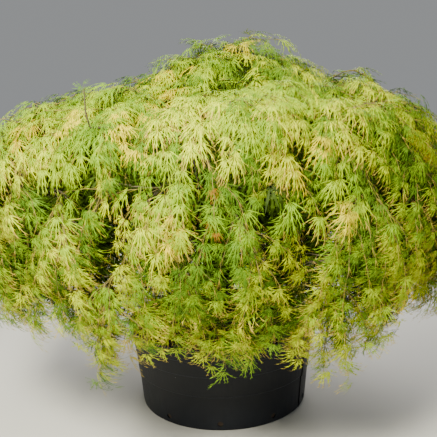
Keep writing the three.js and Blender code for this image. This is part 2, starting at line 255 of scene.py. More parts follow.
def settle(source, name):
    """Replaces an object by the plain mesh that its modifiers make."""
    depsgraph = bpy.context.evaluated_depsgraph_get()
    mesh = bpy.data.meshes.new_from_object(source.evaluated_get(depsgraph))
    bpy.data.objects.remove(source)
    mesh.name = name
    piece = new_piece(name, mesh)
    mesh.calc_loop_triangles()
    print(name, "triangles:", len(mesh.loop_triangles))
    return piece

# %% Helpers for places and directions
def level_way(bearing):
    """The level direction at a bearing from +X, in radians."""
    return Vector((math.cos(bearing), math.sin(bearing), 0))


def outwards_from(spot):
    """The level direction from the plant's axis to a place."""
    return Vector((spot.x, spot.y, 0)).normalized()


def jitter(chance, most):
    """A small random step."""
    return Vector([chance.uniform(-most, most) for _ in range(3)])


def bezier(start, near, far, end, t):
    """A point on a smooth curve with two handles."""
    return start * (1 - t) ** 3 + near * (3 * t * (1 - t) ** 2) + far * (3 * t * t * (1 - t)) + end * t ** 3


def nearest_of(places, spot):
    """The number of the place that lies nearest to a spot."""
    return int(np.argmin(np.linalg.norm(places - np.array(spot), axis=1)))

# %% [markdown]
# ## Camera, light and floor
# The photographer stood a little over three metres away and looked down at the shoulder of the
# plant. The camera's place was found by matching the tub's rim, foot and sides. The light is a
# bright overcast sky: a pale world all round, one soft panel high up in front on the left, and a
# larger one behind. The tub and the space under the branches stay in shade.

# %% The camera
CAMERA_PLACE = (-0.004, -3.29, 1.56)
LOOK_DOWN_DEG = 10.5
ROLL_DEG = -1.65
LENS_MM = 53.5

view_from = bpy.data.objects.new("camera", bpy.data.cameras.new("camera"))
view_from.data.lens = LENS_MM
bpy.context.scene.collection.objects.link(view_from)
tip_up = Matrix.Rotation(math.radians(90 - LOOK_DOWN_DEG), 4, "X")
roll = Matrix.Rotation(math.radians(ROLL_DEG), 4, "Z")
view_from.matrix_world = Matrix.Translation(CAMERA_PLACE) @ tip_up @ roll
bpy.context.scene.camera = view_from

# %% The light
SKY_COLOUR = (0.95, 0.98, 1.0, 1)
SKY_STRENGTH = 0.30
LIGHT_AIM = Vector((0, 0, 1.1))
PANELS = [
    {
        "name": "main_panel",
        "place": (-1.1, -3.1, 3.4),
        "side": 1.2,
        "power": 510,
        "colour": (1.0, 0.97, 0.78),
    },
    {
        "name": "back_panel",
        "place": (0.9, 3.4, 2.6),
        "side": 3.2,
        "power": 230,
        "colour": (1.0, 0.97, 0.90),
    },
]

world = bpy.data.worlds.new("sky")
bpy.context.scene.world = world
world.use_nodes = True
world.node_tree.nodes["Background"].inputs["Color"].default_value = SKY_COLOUR
world.node_tree.nodes["Background"].inputs["Strength"].default_value = SKY_STRENGTH

for plan in PANELS:
    panel = bpy.data.objects.new(plan["name"], bpy.data.lights.new(plan["name"], "AREA"))
    panel.data.size = plan["side"]
    panel.data.energy = plan["power"]
    panel.data.color = plan["colour"]
    panel.location = plan["place"]
    panel.rotation_euler = (LIGHT_AIM - panel.location).to_track_quat("-Z", "Y").to_euler()
    bpy.context.scene.collection.objects.link(panel)

# %% The floor
FLOOR_HALF = 9.0
FLOOR_GREY = (0.62, 0.61, 0.59)

floor_corners = [(x * FLOOR_HALF, y * FLOOR_HALF, 0) for x, y in ((-1, -1), (1, -1), (1, 1), (-1, 1))]
floor = new_piece("floor", new_mesh("floor", floor_corners, [(0, 1, 2, 3)]))
floor.data.materials.append(plain_finish("pale_floor", FLOOR_GREY, 0.8)[0])
floor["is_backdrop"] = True

# %% [markdown]
# ## The tub
# A nursery tub of this size is moulded in black polythene. Its side is stiffened by shallow steps
# and a rolled bead round the rim, and drain holes are punched just above the foot. Such a body
# follows one rule, a profile turned round an axis, so it is a lathe: the same profile as the CAD
# solid, with many more sides, and with softened corners where the steps turn. The holes are cut by a
# Boolean, as a drill would cut them.

# %% The tub's profile
TUB_FOOT_RADIUS = 0.430
TUB_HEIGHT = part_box("tub")[1][2]
TUB_SLOPE = 0.095
TUB_WALL = 0.007
TUB_FLOOR = 0.008
FOOT_ROUND = 0.006
TIERS = [(0.176, 0.003), (0.280, 0.002), (0.354, 0.004)]
RIM_LIP = 0.008
RIM_BEAD = 0.014
RIM_FALL = 0.002
WALL_LEAN = 0.0004
TUB_SIDES = 192


def tub_radius(height):
    """The outer radius at a height: the taper, and the steps below that height."""
    return TUB_FOOT_RADIUS + TUB_SLOPE * height + sum(step for top, step in TIERS if height > top)


def arc(centre, radius, first_deg, last_deg, count):
    """Points of an arc in the profile's plane."""
    angles = np.radians(np.linspace(first_deg, last_deg, count))
    return [(centre[0] + radius * math.cos(a), centre[1] + radius * math.sin(a)) for a in angles]


def tub_profile():
    """The outline of the wall, from the middle of the underside round to the middle of the floor."""
    foot = tub_radius(0) - FOOT_ROUND
    outline = [(0, 0), (foot * 0.5, 0), *arc((foot, FOOT_ROUND), FOOT_ROUND, -90, 0, 5)]
    last = FOOT_ROUND
    for top, step in TIERS:
        outline += [(tub_radius(z), z) for z in np.linspace(last, top, 5)[1:]]
        corner = (tub_radius(top), top + step)
        outline += [(corner[0] + step * 0.45, top + step * 0.25), (corner[0] + step, corner[1])]
        last = top + step
    rim = tub_radius(TUB_HEIGHT)
    below = TUB_HEIGHT - RIM_BEAD
    outline += [(tub_radius(z), z) for z in np.linspace(last, below, 4)[1:]]
    middle = (rim + RIM_LIP * 0.35, below + RIM_BEAD * 0.5)
    outline += arc(middle, RIM_LIP * 0.8, -70, 80, 7)
    outline += [(rim, TUB_HEIGHT), (rim - TUB_WALL, TUB_HEIGHT - RIM_FALL)]
    inner_foot = TUB_FOOT_RADIUS - TUB_WALL
    outline += [(rim - TUB_WALL - WALL_LEAN, TUB_HEIGHT * 0.9), (inner_foot, TUB_FLOOR), (0, TUB_FLOOR)]
    return outline

# %% The lathe
TUB_WAVE = 0.0009


def lathe(name, outline, sides, relief=None):
    """Turns an outline round the Z axis into a closed mesh. Its first and last points are on the axis."""
    rings = outline[1:-1]
    points = [(0, 0, outline[0][1]), (0, 0, outline[-1][1])]
    for radius, height in rings:
        for side in range(sides):
            angle = 2 * math.pi * side / sides
            out = radius + (relief(angle, height) if relief else 0)
            points.append((out * math.cos(angle), out * math.sin(angle), height))
    faces = []
    top = 2 + (len(rings) - 1) * sides
    for side in range(sides):
        after = (side + 1) % sides
        faces.append((0, 2 + after, 2 + side))
        faces.append((1, top + side, top + after))
        for ring in range(len(rings) - 1):
            low = 2 + ring * sides
            faces.append((low + side, low + after, low + sides + after, low + sides + side))
    return new_mesh(name, points, faces)


def tub_relief(angle, height):
    """The slow waviness of a large moulding, a millimetre or so."""
    wave = math.sin(3 * angle + 1.0) + 0.7 * math.sin(7 * angle + 9 * height)
    return TUB_WAVE * wave * math.sin(math.pi * height / TUB_HEIGHT)


tub = new_piece("tub_shell", lathe("tub_shell", tub_profile(), TUB_SIDES, tub_relief))
print("tub profile points:", len(tub_profile()))

# %% Its drain holes
DRAIN_COUNT = 10
DRAIN_FIRST_DEG = -93
DRAIN_RADIUS = 0.014
DRAIN_HEIGHT = 0.036
DRAIN_SIDES = 24
DRILL_HALF = 0.03


def drills():
    """One mesh with a short cylinder across the wall at every drain hole."""
    points = []
    faces = []
    for hole in range(DRAIN_COUNT):
        bearing = Matrix.Rotation(math.radians(DRAIN_FIRST_DEG + 360 / DRAIN_COUNT * hole), 4, "Z")
        first = len(points)
        for reach in (-DRILL_HALF, DRILL_HALF):
            for side in range(DRAIN_SIDES):
                angle = 2 * math.pi * side / DRAIN_SIDES
                across = DRAIN_RADIUS * math.cos(angle)
                up = DRAIN_HEIGHT + DRAIN_RADIUS * math.sin(angle)
                points.append(bearing @ Vector((TUB_FOOT_RADIUS + reach, across, up)))
        near = list(range(first, first + DRAIN_SIDES))
        faces.append(near[::-1])
        faces.append([i + DRAIN_SIDES for i in near])
        faces += band_faces(2, DRAIN_SIDES, first)
    return new_mesh("drills", points, faces)


drill = new_piece("drills", drills())
cut = tub.modifiers.new("drain holes", "BOOLEAN")
cut.object = drill
cut.operation = "DIFFERENCE"
cut.solver = "EXACT"
tub = settle(tub, "tub_shell")
bpy.data.objects.remove(drill)

# %% [markdown]
# ## Its seam and the splashes on it
# The wall shows the upright seam of the mould, with a small sideways jog where it crosses the lower
# step, and dried splashes of hard water. The seam is a thin welt that follows the wall, painted
# near-black as the shadow along its edge, so that it shows as a dark line. The splashes are
# scattered by Geometry Nodes over a band with the wall's own shape, so each lies on the plastic.

# %% The mould seam
SEAM_BEARING_DEG = -30
SEAM_JOG = 0.006
SEAM_HALF = 0.003
SEAM_PROUD = 0.0038
SEAM_ROWS = 40
SEAM_SECTION = [(-1, -0.4), (-0.55, 0.8), (0, 1), (0.55, 0.8), (1, -0.4)]


def seam_mesh():
    """A welt with a round back that runs from the foot to under the bead."""
    points = []
    bearing = math.radians(SEAM_BEARING_DEG)
    out = level_way(bearing)
    along = Vector((-out.y, out.x, 0))
    for row in range(SEAM_ROWS + 1):
        height = FOOT_ROUND + (TUB_HEIGHT - RIM_BEAD - FOOT_ROUND) * row / SEAM_ROWS
        jog = SEAM_JOG if height > TIERS[0][0] else 0
        foot = out * (tub_radius(height) + tub_relief(bearing, height)) + UP * height + along * jog
        for side, rise in SEAM_SECTION:
            points.append(foot + along * (SEAM_HALF * side) + out * (SEAM_PROUD * rise))
    width = len(SEAM_SECTION)
    faces = band_faces(SEAM_ROWS + 1, width)
    faces.append(tuple(range(width))[::-1])
    faces.append(tuple(range(SEAM_ROWS * width, (SEAM_ROWS + 1) * width)))
    return new_mesh("tub_seam", points, faces)


tub_seam = new_piece("tub_seam", seam_mesh())
print("seam at", SEAM_BEARING_DEG + 90, "degrees round from the front")

# %% The black plastic
LEDGE_HALF = 0.0028
LEDGE_PALE_SHARE = 0.5
FOOT_DUST = (0.55, 0.12)
FOOT_DUST_TOP = 0.16
LINES_ACROSS = 90.0
LINES_ALONG = 3.0
CLEAN_BLACK = (0.003, 0.0037, 0.006)
DUSTY_GREY = (0.036, 0.042, 0.056)
# The seam's colour is painted shade: a near-black shadow line along the welt.
SEAM_SHADE_BLACK = (0.0008, 0.0008, 0.001)
SHARP_DEG = 28


def plastic_finish():
    """Black polythene: a dull sheen, upright drawing lines, dust low down, and a paler band on each ledge.
    """
    material, tree, shader = plain_finish("black_polythene", (0.006, 0.006, 0.007), 0.45)
    shader.inputs["Specular IOR Level"].default_value = 0.2
    place = add(tree, "ShaderNodeTexCoord").outputs["Object"]
    parts = add(tree, "ShaderNodeSeparateXYZ", {0: place}).outputs
    turn = maths(tree, "ARCTAN2", parts["Y"], parts["X"])
    around = maths(tree, "MULTIPLY", turn, LINES_ACROSS)
    upwards = maths(tree, "MULTIPLY", parts["Z"], LINES_ALONG)
    wrapped = add(tree, "ShaderNodeCombineXYZ", {"X": around, "Z": upwards}).outputs[0]
    lines = noise(tree, wrapped, scale=2.2, detail=3.0)
    dust = noise(tree, place, scale=7.0, detail=8.0, roughness=0.7)
    lying = remap(tree, parts["Z"], given=(0.0, FOOT_DUST_TOP), wanted=FOOT_DUST)
    # Each ledge gets a paler grey band along its top.
    for top, step in TIERS:
        on_ledge = maths(tree, "COMPARE", parts["Z"], top + step * 0.5, LEDGE_HALF)
        lying = maths(tree, "MAXIMUM", lying, maths(tree, "MULTIPLY", on_ledge, LEDGE_PALE_SHARE))
    tint = two_tones(tree, maths(tree, "MULTIPLY", dust, lying), CLEAN_BLACK, DUSTY_GREY)
    tree.links.new(tint, shader.inputs["Base Color"])
    sheen = remap(tree, lines, given=(0.3, 0.7), wanted=(0.36, 0.58))
    tree.links.new(sheen, shader.inputs["Roughness"])
    roughen(tree, shader, maths(tree, "ADD", dust, lines), strength=0.35, distance=0.0012)
    return material


# The seam's material is painted near-black, a painted shadow along the welt.
seam_dirt, _, seam_shader = plain_finish("seam_dirt", SEAM_SHADE_BLACK, 0.8)
seam_shader.inputs["Specular IOR Level"].default_value = 0.03
for piece, finish in ((tub, plastic_finish()), (tub_seam, seam_dirt)):
    piece.data.materials.clear()
    piece.data.materials.append(finish)
    piece.data.shade_smooth()
    piece.data.set_sharp_from_angle(angle=math.radians(SHARP_DEG))

# %% Dried splashes
SPLASH_COUNT = 70
SPLASH_SIZE = 0.0022
SPLASH_FLATNESS = 0.25
SPLASH_TONES = ((0.16, 0.16, 0.15), (0.55, 0.55, 0.53))
BAND_FOOT = 0.02
BAND_MIDDLE = 0.2
BAND_ROWS = 12
BAND_SIDES = 48


def splash_finish():
    """Chalky hard-water marks in two tones."""
    material, tree, shader = plain_finish("dried_splash", (0.35, 0.35, 0.34), 0.85)
    place = add(tree, "ShaderNodeTexCoord").outputs["Object"]
    tint = two_tones(tree, noise(tree, place, scale=220.0, detail=2.0), *SPLASH_TONES)
    tree.links.new(tint, shader.inputs["Base Color"])
    return material


def splash_tree():
    """Scatters flat drops over the outer wall."""
    tree, given, end = geometry_tree(
        "dried splashes",
        [
            ("Density", "NodeSocketFloat"),
            ("Drop size", "NodeSocketFloat"),
            ("Finish", "NodeSocketMaterial"),
        ],
    )
    spread = add(
        tree,
        "GeometryNodeDistributePointsOnFaces",
        {"Mesh": given["Geometry"], "Density": given["Density"], "Seed": 4},
    )
    drop = add(tree, "GeometryNodeMeshIcoSphere", {"Radius": 1.0, "Subdivisions": 1})
    across = maths(tree, "MULTIPLY", random_size(tree, least=0.3, seed=5), given["Drop size"])
    thick = maths(tree, "MULTIPLY", across, SPLASH_FLATNESS)
    shape = add(tree, "ShaderNodeCombineXYZ", {"X": across, "Y": across, "Z": thick})
    real = scatter(tree, spread, drop, spread.outputs["Rotation"], shape.outputs[0])
    end(dress(tree, real, given["Finish"]))
    return tree


def wall_band():
    """A plain band of the outer wall, which only carries the splashes."""
    points = []
    for height in np.linspace(BAND_FOOT, TUB_HEIGHT - RIM_BEAD, BAND_ROWS):
        for side in range(BAND_SIDES):
            angle = 2 * math.pi * side / BAND_SIDES
            out = tub_radius(height) + tub_relief(angle, height)
            points.append((out * math.cos(angle), out * math.sin(angle), height))
    return new_mesh("wall_band", points, band_faces(BAND_ROWS, BAND_SIDES))


splashes = new_piece("splash_band", wall_band())
band_area = 2 * math.pi * tub_radius(BAND_MIDDLE) * TUB_HEIGHT
run_tree(
    splashes,
    splash_tree(),
    {"Density": SPLASH_COUNT / band_area, "Drop size": SPLASH_SIZE, "Finish": splash_finish()},
)
splashes = settle(splashes, "tub_splashes")
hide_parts("tub")
for piece in (tub, tub_seam, splashes):
    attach(piece, "root")

# %% [markdown]
# ## The potting mix
# The tub is filled to two fingers below the rim with composted bark. From above it is a dull
# brown bed, a little higher round the trunk, covered with chips. The bed is a lathe with an uneven
# top, and the chips are scattered over that top by Geometry Nodes, each turned and sized by chance.

# %% The bed
MIX_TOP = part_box("potting_mix")[1][2]
MIX_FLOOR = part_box("potting_mix")[0][2]
MIX_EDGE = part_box("potting_mix")[1][0]
MIX_EDGE_DROP = 0.007
MIX_PLAY = 0.001
CHIP_ROOM = 0.002
TOP_LAYER = 0.02
MIX_SWELL = 0.0016
MIX_ROUGH = 0.0014
MIX_SEED = 3
MIX_SIDES = 96
MIX_RINGS = 22


def mix_outline():
    """The bed's outline: floor, side and a top that rises gently to the middle."""
    foot = TUB_FOOT_RADIUS - TUB_WALL - MIX_PLAY
    edge = MIX_EDGE - MIX_PLAY
    outline = [(0, MIX_FLOOR), (foot, MIX_FLOOR), (edge, MIX_TOP - MIX_EDGE_DROP - CHIP_ROOM)]
    for ring in range(MIX_RINGS):
        out = edge * (1 - (ring + 0.5) / MIX_RINGS)
        outline.append((out, MIX_TOP - CHIP_ROOM - MIX_EDGE_DROP * (out / edge) ** 3))
    outline.append((0, MIX_TOP - CHIP_ROOM))
    return outline


mix_mesh = lathe("mix_bed", mix_outline(), MIX_SIDES)
rough = random.Random(MIX_SEED)
for vertex in mix_mesh.vertices:
    if vertex.co.z > MIX_TOP - TOP_LAYER:
        x, y, _ = vertex.co
        swell = math.sin(23 * x + 2) * math.sin(19 * y + 1) + 0.6 * math.sin(51 * x - 37 * y)
        vertex.co.z += MIX_SWELL * swell + rough.uniform(-MIX_ROUGH, MIX_ROUGH)
mix_bed = new_piece("mix_bed", mix_mesh)

# %% Bark chips
CHIPS_PER_SQUARE_METRE = 1500
CHIP_LENGTH = 0.022
CHIP_SHAPE = (1.0, 0.45, 0.14)
CHIP_TILT = 0.35
CHIP_TURN = 6.28
CHIP_TEAR = 0.008
CHIP_TONES = ((0.055, 0.034, 0.021), (0.19, 0.13, 0.085))
BED_TONES = ((0.028, 0.018, 0.012), (0.075, 0.05, 0.034))


def bark_chip_finish(name, dark, light):
    """Composted bark: fibrous, dull, brown to grey."""
    material, tree, shader = plain_finish(name, dark, 0.95)
    place = add(tree, "ShaderNodeTexCoord").outputs["Object"]
    fibre = noise(tree, place, scale=70.0, detail=6.0)
    tree.links.new(two_tones(tree, fibre, dark, light), shader.inputs["Base Color"])
    roughen(tree, shader, fibre, strength=0.6, distance=0.002)
    return material


def chip_tree():
    """Scatters flat chips over every face that looks up."""
    tree, given, end = geometry_tree(
        "bark chips",
        [
            ("Density", "NodeSocketFloat"),
            ("Chip length", "NodeSocketFloat"),
            ("Finish", "NodeSocketMaterial"),
        ],
    )
    normal = add(tree, "GeometryNodeInputNormal").outputs[0]
    facing = add(tree, "ShaderNodeSeparateXYZ", {0: normal}).outputs["Z"]
    level = maths(tree, "GREATER_THAN", facing, 0.6)
    spread = add(
        tree,
        "GeometryNodeDistributePointsOnFaces",
        {"Mesh": given["Geometry"], "Selection": level, "Density": given["Density"], "Seed": 8},
    )
    chip = add(tree, "GeometryNodeMeshCube", {"Size": CHIP_SHAPE})
    spin = add(
        tree,
        "FunctionNodeRandomValue",
        {0: (-CHIP_TILT, -CHIP_TILT, 0.0), 1: (CHIP_TILT, CHIP_TILT, CHIP_TURN), "Seed": 9},
        data_type="FLOAT_VECTOR",
    )
    size = maths(tree, "MULTIPLY", random_size(tree, least=0.35, seed=10), given["Chip length"])
    real = scatter(tree, spread, chip, spin.outputs[0], size)
    wander = add(tree, "ShaderNodeTexNoise", {"Scale": 140.0}, noise_dimensions="3D").outputs["Color"]
    centred = add(tree, "ShaderNodeVectorMath", {0: wander, 1: (0.5, 0.5, 0.5)}, operation="SUBTRACT")
    bent = add(tree, "ShaderNodeVectorMath", {0: centred.outputs[0], "Scale": CHIP_TEAR}, operation="SCALE")
    torn = add(tree, "GeometryNodeSetPosition", {"Geometry": real, "Offset": bent.outputs[0]})
    end(dress(tree, torn.outputs[0], given["Finish"]))
    return tree


chip_bed = new_piece("chip_bed", mix_mesh.copy())
run_tree(
    chip_bed,
    chip_tree(),
    {
        "Density": CHIPS_PER_SQUARE_METRE,
        "Chip length": CHIP_LENGTH,
        "Finish": bark_chip_finish("bark_chips", *CHIP_TONES),
    },
)
chips = settle(chip_bed, "mix_chips")
mix_mesh.materials.append(bark_chip_finish("composted_bark", *BED_TONES))
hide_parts("potting_mix")
for piece in (mix_bed, chips):
    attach(piece, "root")

# %% [markdown]
# ## The crown's skin
# The masses of the frame say where the foliage ends. A ray sent in towards the heart of the crown
# meets the skin of the outermost mass first, and that gives a place, the way out, and the mass that
# the leaves there stand for. The lower edge is read from the masses too, direction by direction, so
# that the long sprays hang where the frame has them.

# %% Reading the masses
HEART = Vector((0, 0, 0.95))
RAY_START = 3.0
SAME_SIDE = 2.65
HEM_BINS = 60
HEM_RADIUS = 1.04
FAR_ABOVE = Vector((0, 0, 9))
foliage_names = [name for name in node_names if name.startswith("foliage_")]


def joined_nodes(names):
    """The vertices and faces of several frame nodes, and the node that owns each face."""
    points, faces = joined(frame["nodes"][name].data for name in names)
    owners = [name for name in names for _ in frame["nodes"][name].data.polygons]
    return points, faces, owners


crown_points, crown_faces, crown_owners = joined_nodes(foliage_names)
crown = BVHTree.FromPolygons(crown_points, crown_faces)


def skin_at(direction):
    """Where the crown's skin lies in a direction from its heart, its way out, and its mass."""
    spot, normal, face, travelled = crown.ray_cast(HEART + direction * RAY_START, -direction)
    if spot is None or travelled > SAME_SIDE:
        return None
    return spot, (normal * 0.5 + direction * 0.5).normalized(), crown_owners[face]


def hem_bin(point):
    """Where a point lies round the crown, counted in bins of the hem."""
    return (math.atan2(point.y, point.x) / (2 * math.pi) * HEM_BINS) % HEM_BINS


hem_points = [FAR_ABOVE] * HEM_BINS
hem_owners = [""] * HEM_BINS
for face, owner in zip(crown_faces, crown_owners):
    for corner in face:
        point = crown_points[corner]
        place = round(hem_bin(point)) % HEM_BINS
        if point.z < hem_points[place].z and math.hypot(point.x, point.y) > HEM_RADIUS:
            hem_points[place] = point
            hem_owners[place] = owner
hem = np.array([point.z for point in hem_points])


def hem_height(point):
    """The height of the lower edge in the direction of a point."""
    place = hem_bin(point)
    low = int(place) % HEM_BINS
    share = place - int(place)
    return float(hem[low] * (1 - share) + hem[(low + 1) % HEM_BINS] * share)


print("hem from", round(float(hem.min()), 3), "to", round(float(hem.max()), 3))

# %% [markdown]
# ## Drapes
# The leaves of a weeping maple are not spread evenly. Each branch ends in a fan of shoots that
# arches out over the fan below it, so the crown is shingled with drapes a hand or two wide, with
# shade between them. The middles of the drapes are spread over the skin by throwing darts: a dart
# is kept if it lands far enough from the others.

# %% Spreading the drapes
SEED = 11
DRAPE_SPACING = 0.215
DART_COUNT = 7000
LOWEST_DART = -0.32
DEEPEST_SINK = 0.08
OUTWARD_FLOW = 0.55
DRAPE_ABOVE_HEM = 0.10
ROOT_UPHILL = 0.13
ROOT_DEPTH = 0.10


def slope_down(way_out, spot):
    """The direction in which foliage flows over the skin: down the slope, or out from the top."""
    radial = Vector((spot.x, spot.y, 0))
    radial = radial.normalized() if radial.length > 1e-4 else Vector((0, -1, 0))
    down = -UP + way_out * way_out.z
    flow = down + radial * OUTWARD_FLOW
    flow -= way_out * flow.dot(way_out)
    return flow.normalized()


def throw_dart(chance):
    """Where a random line from the heart meets the skin, with the way out and the mass."""
    lift = chance.uniform(LOWEST_DART, 1)
    bearing = chance.uniform(0, 2 * math.pi)
    level = math.sqrt(1 - lift * lift)
    return skin_at(Vector((level * math.cos(bearing), level * math.sin(bearing), lift)))


def throw_drapes(seed):
    """Drape middles, spread evenly over the skin."""
    chance = random.Random(seed)
    kept = []
    for _ in range(DART_COUNT):
        found = throw_dart(chance)
        if found is None:
            continue
        spot, way_out, owner = found
        if spot.z < hem_height(spot) + DRAPE_ABOVE_HEM:
            continue
        if all((spot - other["spot"]).length > DRAPE_SPACING for other in kept):
            kept.append({"spot": spot, "out": way_out, "mass": owner})
    for drape in kept:
        drape["flow"] = slope_down(drape["out"], drape["spot"])
        drape["sink"] = chance.uniform(0.0, DEEPEST_SINK)
        depth = ROOT_DEPTH + drape["sink"]
        drape["root"] = drape["spot"] - drape["flow"] * ROOT_UPHILL - drape["out"] * depth
    return kept


drapes = throw_drapes(SEED)
print("drapes:", len(drapes), "over", len({d["mass"] for d in drapes}), "masses")

# %% [markdown]
# ## Branches
# The frame's boughs stop where they enter the foliage. From there each branch has to be reached by
# wood. The rule is the one a tree seems to follow: a new branch leaves the wood that is nearest,
# counting also how far that wood already is from the trunk, and counting a sharp turn as a longer
# way. Thickness follows from what a branch carries, as the area of a limb is about the sum of the
# areas of its branches.

# %% Where the boughs end
TRUNK_TOP = Vector((0.046, -0.018, 0.80))
END_REACH = 0.035
BEHIND_END = (0.08, 0.26)
TURN_COST = 0.55
TRAVEL_COST = 0.22
wood_names = [name for name in node_names if name == "trunk" or name.startswith("bough_")]


def bough_end(name):
    """The middle of a bough's far end, its heading there and its radius."""
    points = [vertex.co for vertex in frame["nodes"][name].data.vertices]
    far = max(points, key=lambda point: (point - TRUNK_TOP).length)
    near_end = [point for point in points if (point - far).length < END_REACH]
    tip = sum(near_end, Vector()) / len(near_end)
    before = [point for point in points if BEHIND_END[0] < (point - tip).length < BEHIND_END[1]]
    behind = sum(before, Vector()) / len(before)
    radius = max((point - tip).length for point in near_end)
    return tip, (tip - behind).normalized(), radius


class Skeleton:
    """Branches as a list of joints, each with its place, heading, parent and distance from the trunk."""

    def __init__(self):
        self.place = []
        self.heading = []
        self.parent = []
        self.travelled = []
        self.carries = []
        self.root_radius = []

    def add(self, place, heading, parent, radius=None):
        """Adds a joint and returns its number."""
        start = 0 if parent is None else self.travelled[parent] + (place - self.place[parent]).length
        self.place.append(place)
        self.heading.append(heading)
        self.parent.append(parent)
        self.travelled.append(start)
        self.carries.append(0)
        self.root_radius.append(radius if parent is None else self.root_radius[parent])
        return len(self.place) - 1

    def nearest(self, target):
        """The joint from which a branch to the target is shortest, turns and length of wood counted."""
        places = np.array(self.place)
        headings = np.array(self.heading)
        way = np.array(target) - places
        distance = np.linalg.norm(way, axis=1) + 1e-6
        straight = np.einsum("ij,ij->i", way, headings) / distance
        cost = distance * (1 + TURN_COST * (1 - straight)) + TRAVEL_COST * np.array(self.travelled)
        return int(np.argmin(cost))

# %% Growing the branches
BRANCH_STEP = 0.045
BRANCH_DEPTH = 0.125
WIGGLE = 0.006
LEAVING_SHARE = 0.36
ARRIVING_SHARE = 0.34
BOUGH_OVERLAP = 0.02
ARRIVE_OUTWARDS = 0.35


def keep_inside(point, depth):
    """Moves a point in towards the heart until it is a given depth under the skin."""
    arm = point - HEART
    found = skin_at(arm.normalized())
    if found is None:
        return point
    most = (found[0] - HEART).length - depth
    return HEART + arm.normalized() * most if arm.length > most else point


def grow_branch(skeleton, target, arrive, chance):
    """Joins a target to the skeleton by one smooth arch, and returns its last joint."""
    joint = skeleton.nearest(target)
    start = skeleton.place[joint]
    span = (target - start).length
    near = start + skeleton.heading[joint] * (LEAVING_SHARE * span)
    far = target - arrive * (ARRIVING_SHARE * span)
    count = max(2, round(span / BRANCH_STEP))
    for i in range(1, count + 1):
        point = bezier(start, near, far, target, i / count)
        if i < count:
            point = keep_inside(point + jitter(chance, WIGGLE), BRANCH_DEPTH)
        before = skeleton.place[joint]
        joint = skeleton.add(point, (point - before).normalized(), joint)
    return joint


skeleton = Skeleton()
for name in wood_names:
    if name != "trunk":
        tip, heading, radius = bough_end(name)
        skeleton.add(tip - heading * BOUGH_OVERLAP, heading, None, radius)
bough_tips = list(skeleton.place)
chance = random.Random(SEED + 1)
for drape in sorted(drapes, key=lambda d: min((d["root"] - tip).length for tip in bough_tips)):
    arrive = (drape["flow"] + drape["out"] * ARRIVE_OUTWARDS).normalized()
    drape["joint"] = grow_branch(skeleton, drape["root"], arrive, chance)
    skeleton.carries[drape["joint"]] += 1
for joint in range(len(skeleton.place) - 1, 0, -1):
    if skeleton.parent[joint] is not None:
        skeleton.carries[skeleton.parent[joint]] += skeleton.carries[joint]
print("branch joints:", len(skeleton.place))

# %% How thick each joint is
STEM_RADIUS = 0.0032
PIPE_POWER = 0.45
THINNER_THAN_BOUGH = 0.95


def joint_radius(joint):
    """The radius of a joint from what it carries, never more than its bough's end."""
    grown = STEM_RADIUS * skeleton.carries[joint] ** PIPE_POWER
    return min(grown, skeleton.root_radius[joint] * THINNER_THAN_BOUGH)


def polyline_mesh(name, points, edges, radii):
    """A mesh of bare edges, with the thickness of the wood at each point."""
    mesh = new_mesh(name, points, [], edges)
    store(mesh, "thickness", "FLOAT", radii)
    return mesh


def wood_tree():
    """Gives bare edges a round section whose radius is their thickness."""
    tree, given, end = geometry_tree(
        "wood on edges", [("Sides", "NodeSocketInt"), ("Finish", "NodeSocketMaterial")]
    )
    path = add(tree, "GeometryNodeMeshToCurve", {"Mesh": given["Geometry"]})
    thick = attribute(tree, "thickness", "FLOAT")
    section = add(tree, "GeometryNodeCurvePrimitiveCircle", {"Resolution": given["Sides"], "Radius": 1.0})
    tube = add(
        tree,
        "GeometryNodeCurveToMesh",
        {"Curve": path.outputs[0], "Profile Curve": section.outputs[0], "Scale": thick, "Fill Caps": True},
    )
    end(dress(tree, tube.outputs[0], given["Finish"]))
    return tree


edge_wood = wood_tree()
branch_edges = [(p, j) for j, p in enumerate(skeleton.parent) if p is not None]
branch_radii = [joint_radius(joint) for joint in range(len(skeleton.place))]
print("thickest branch:", round(max(branch_radii) * 1000, 1), "mm")

# %% [markdown]
# ## Bark
# A laceleaf maple of this age has smooth grey-brown bark with fine upright cracks on the trunk, a
# darker brown on young wood and an olive tone on the shoots. The young wood's brown is painted darker
# still, as painted shade, so that the branches sink into the shade inside the crown. The trunk and
# boughs of the frame are separate solids that only touch. Joined, remeshed into one skin and
# smoothed, they grow out of each other as real limbs do, and Geometry Nodes press the bark's relief
# into that skin.

# %% The bark's finishes
LICHEN = (0.30, 0.31, 0.25)
OLD_TONES = ((0.085, 0.068, 0.052), (0.24, 0.20, 0.16))
# Young wood is its own darker brown, painted darker still as shade inside the crown.
YOUNG_AND_SHADE_TONES = ((0.045, 0.036, 0.018), (0.11, 0.085, 0.04))
SHOOT_TONES = ((0.09, 0.065, 0.012), (0.20, 0.17, 0.035))


def bark_finish(name, tones, stretch, lichen_share):
    """Bark: streaks along the wood, pale lichen flecks and fine cracks."""
    material, tree, shader = plain_finish(name, tones[0], 0.85)
    place = add(tree, "ShaderNodeTexCoord").outputs["Object"]
    long = add(tree, "ShaderNodeMapping", {"Vector": place, "Scale": (1, 1, stretch)})
    streak = noise(tree, long.outputs[0], scale=60.0, detail=8.0)
    tint = two_tones(tree, streak, *tones)
    lichen = noise(tree, place, scale=22.0, detail=6.0)
    patch = remap(tree, lichen, given=(0.58, 0.7), wanted=(0.0, lichen_share))
    flecks = {0: patch, 6: tint, 7: (*LICHEN, 1)}
    spotted = add(tree, "ShaderNodeMix", flecks, data_type="RGBA").outputs[2]
    tree.links.new(spotted, shader.inputs["Base Color"])
    roughen(tree, shader, streak, strength=0.5, distance=0.002)
    return material


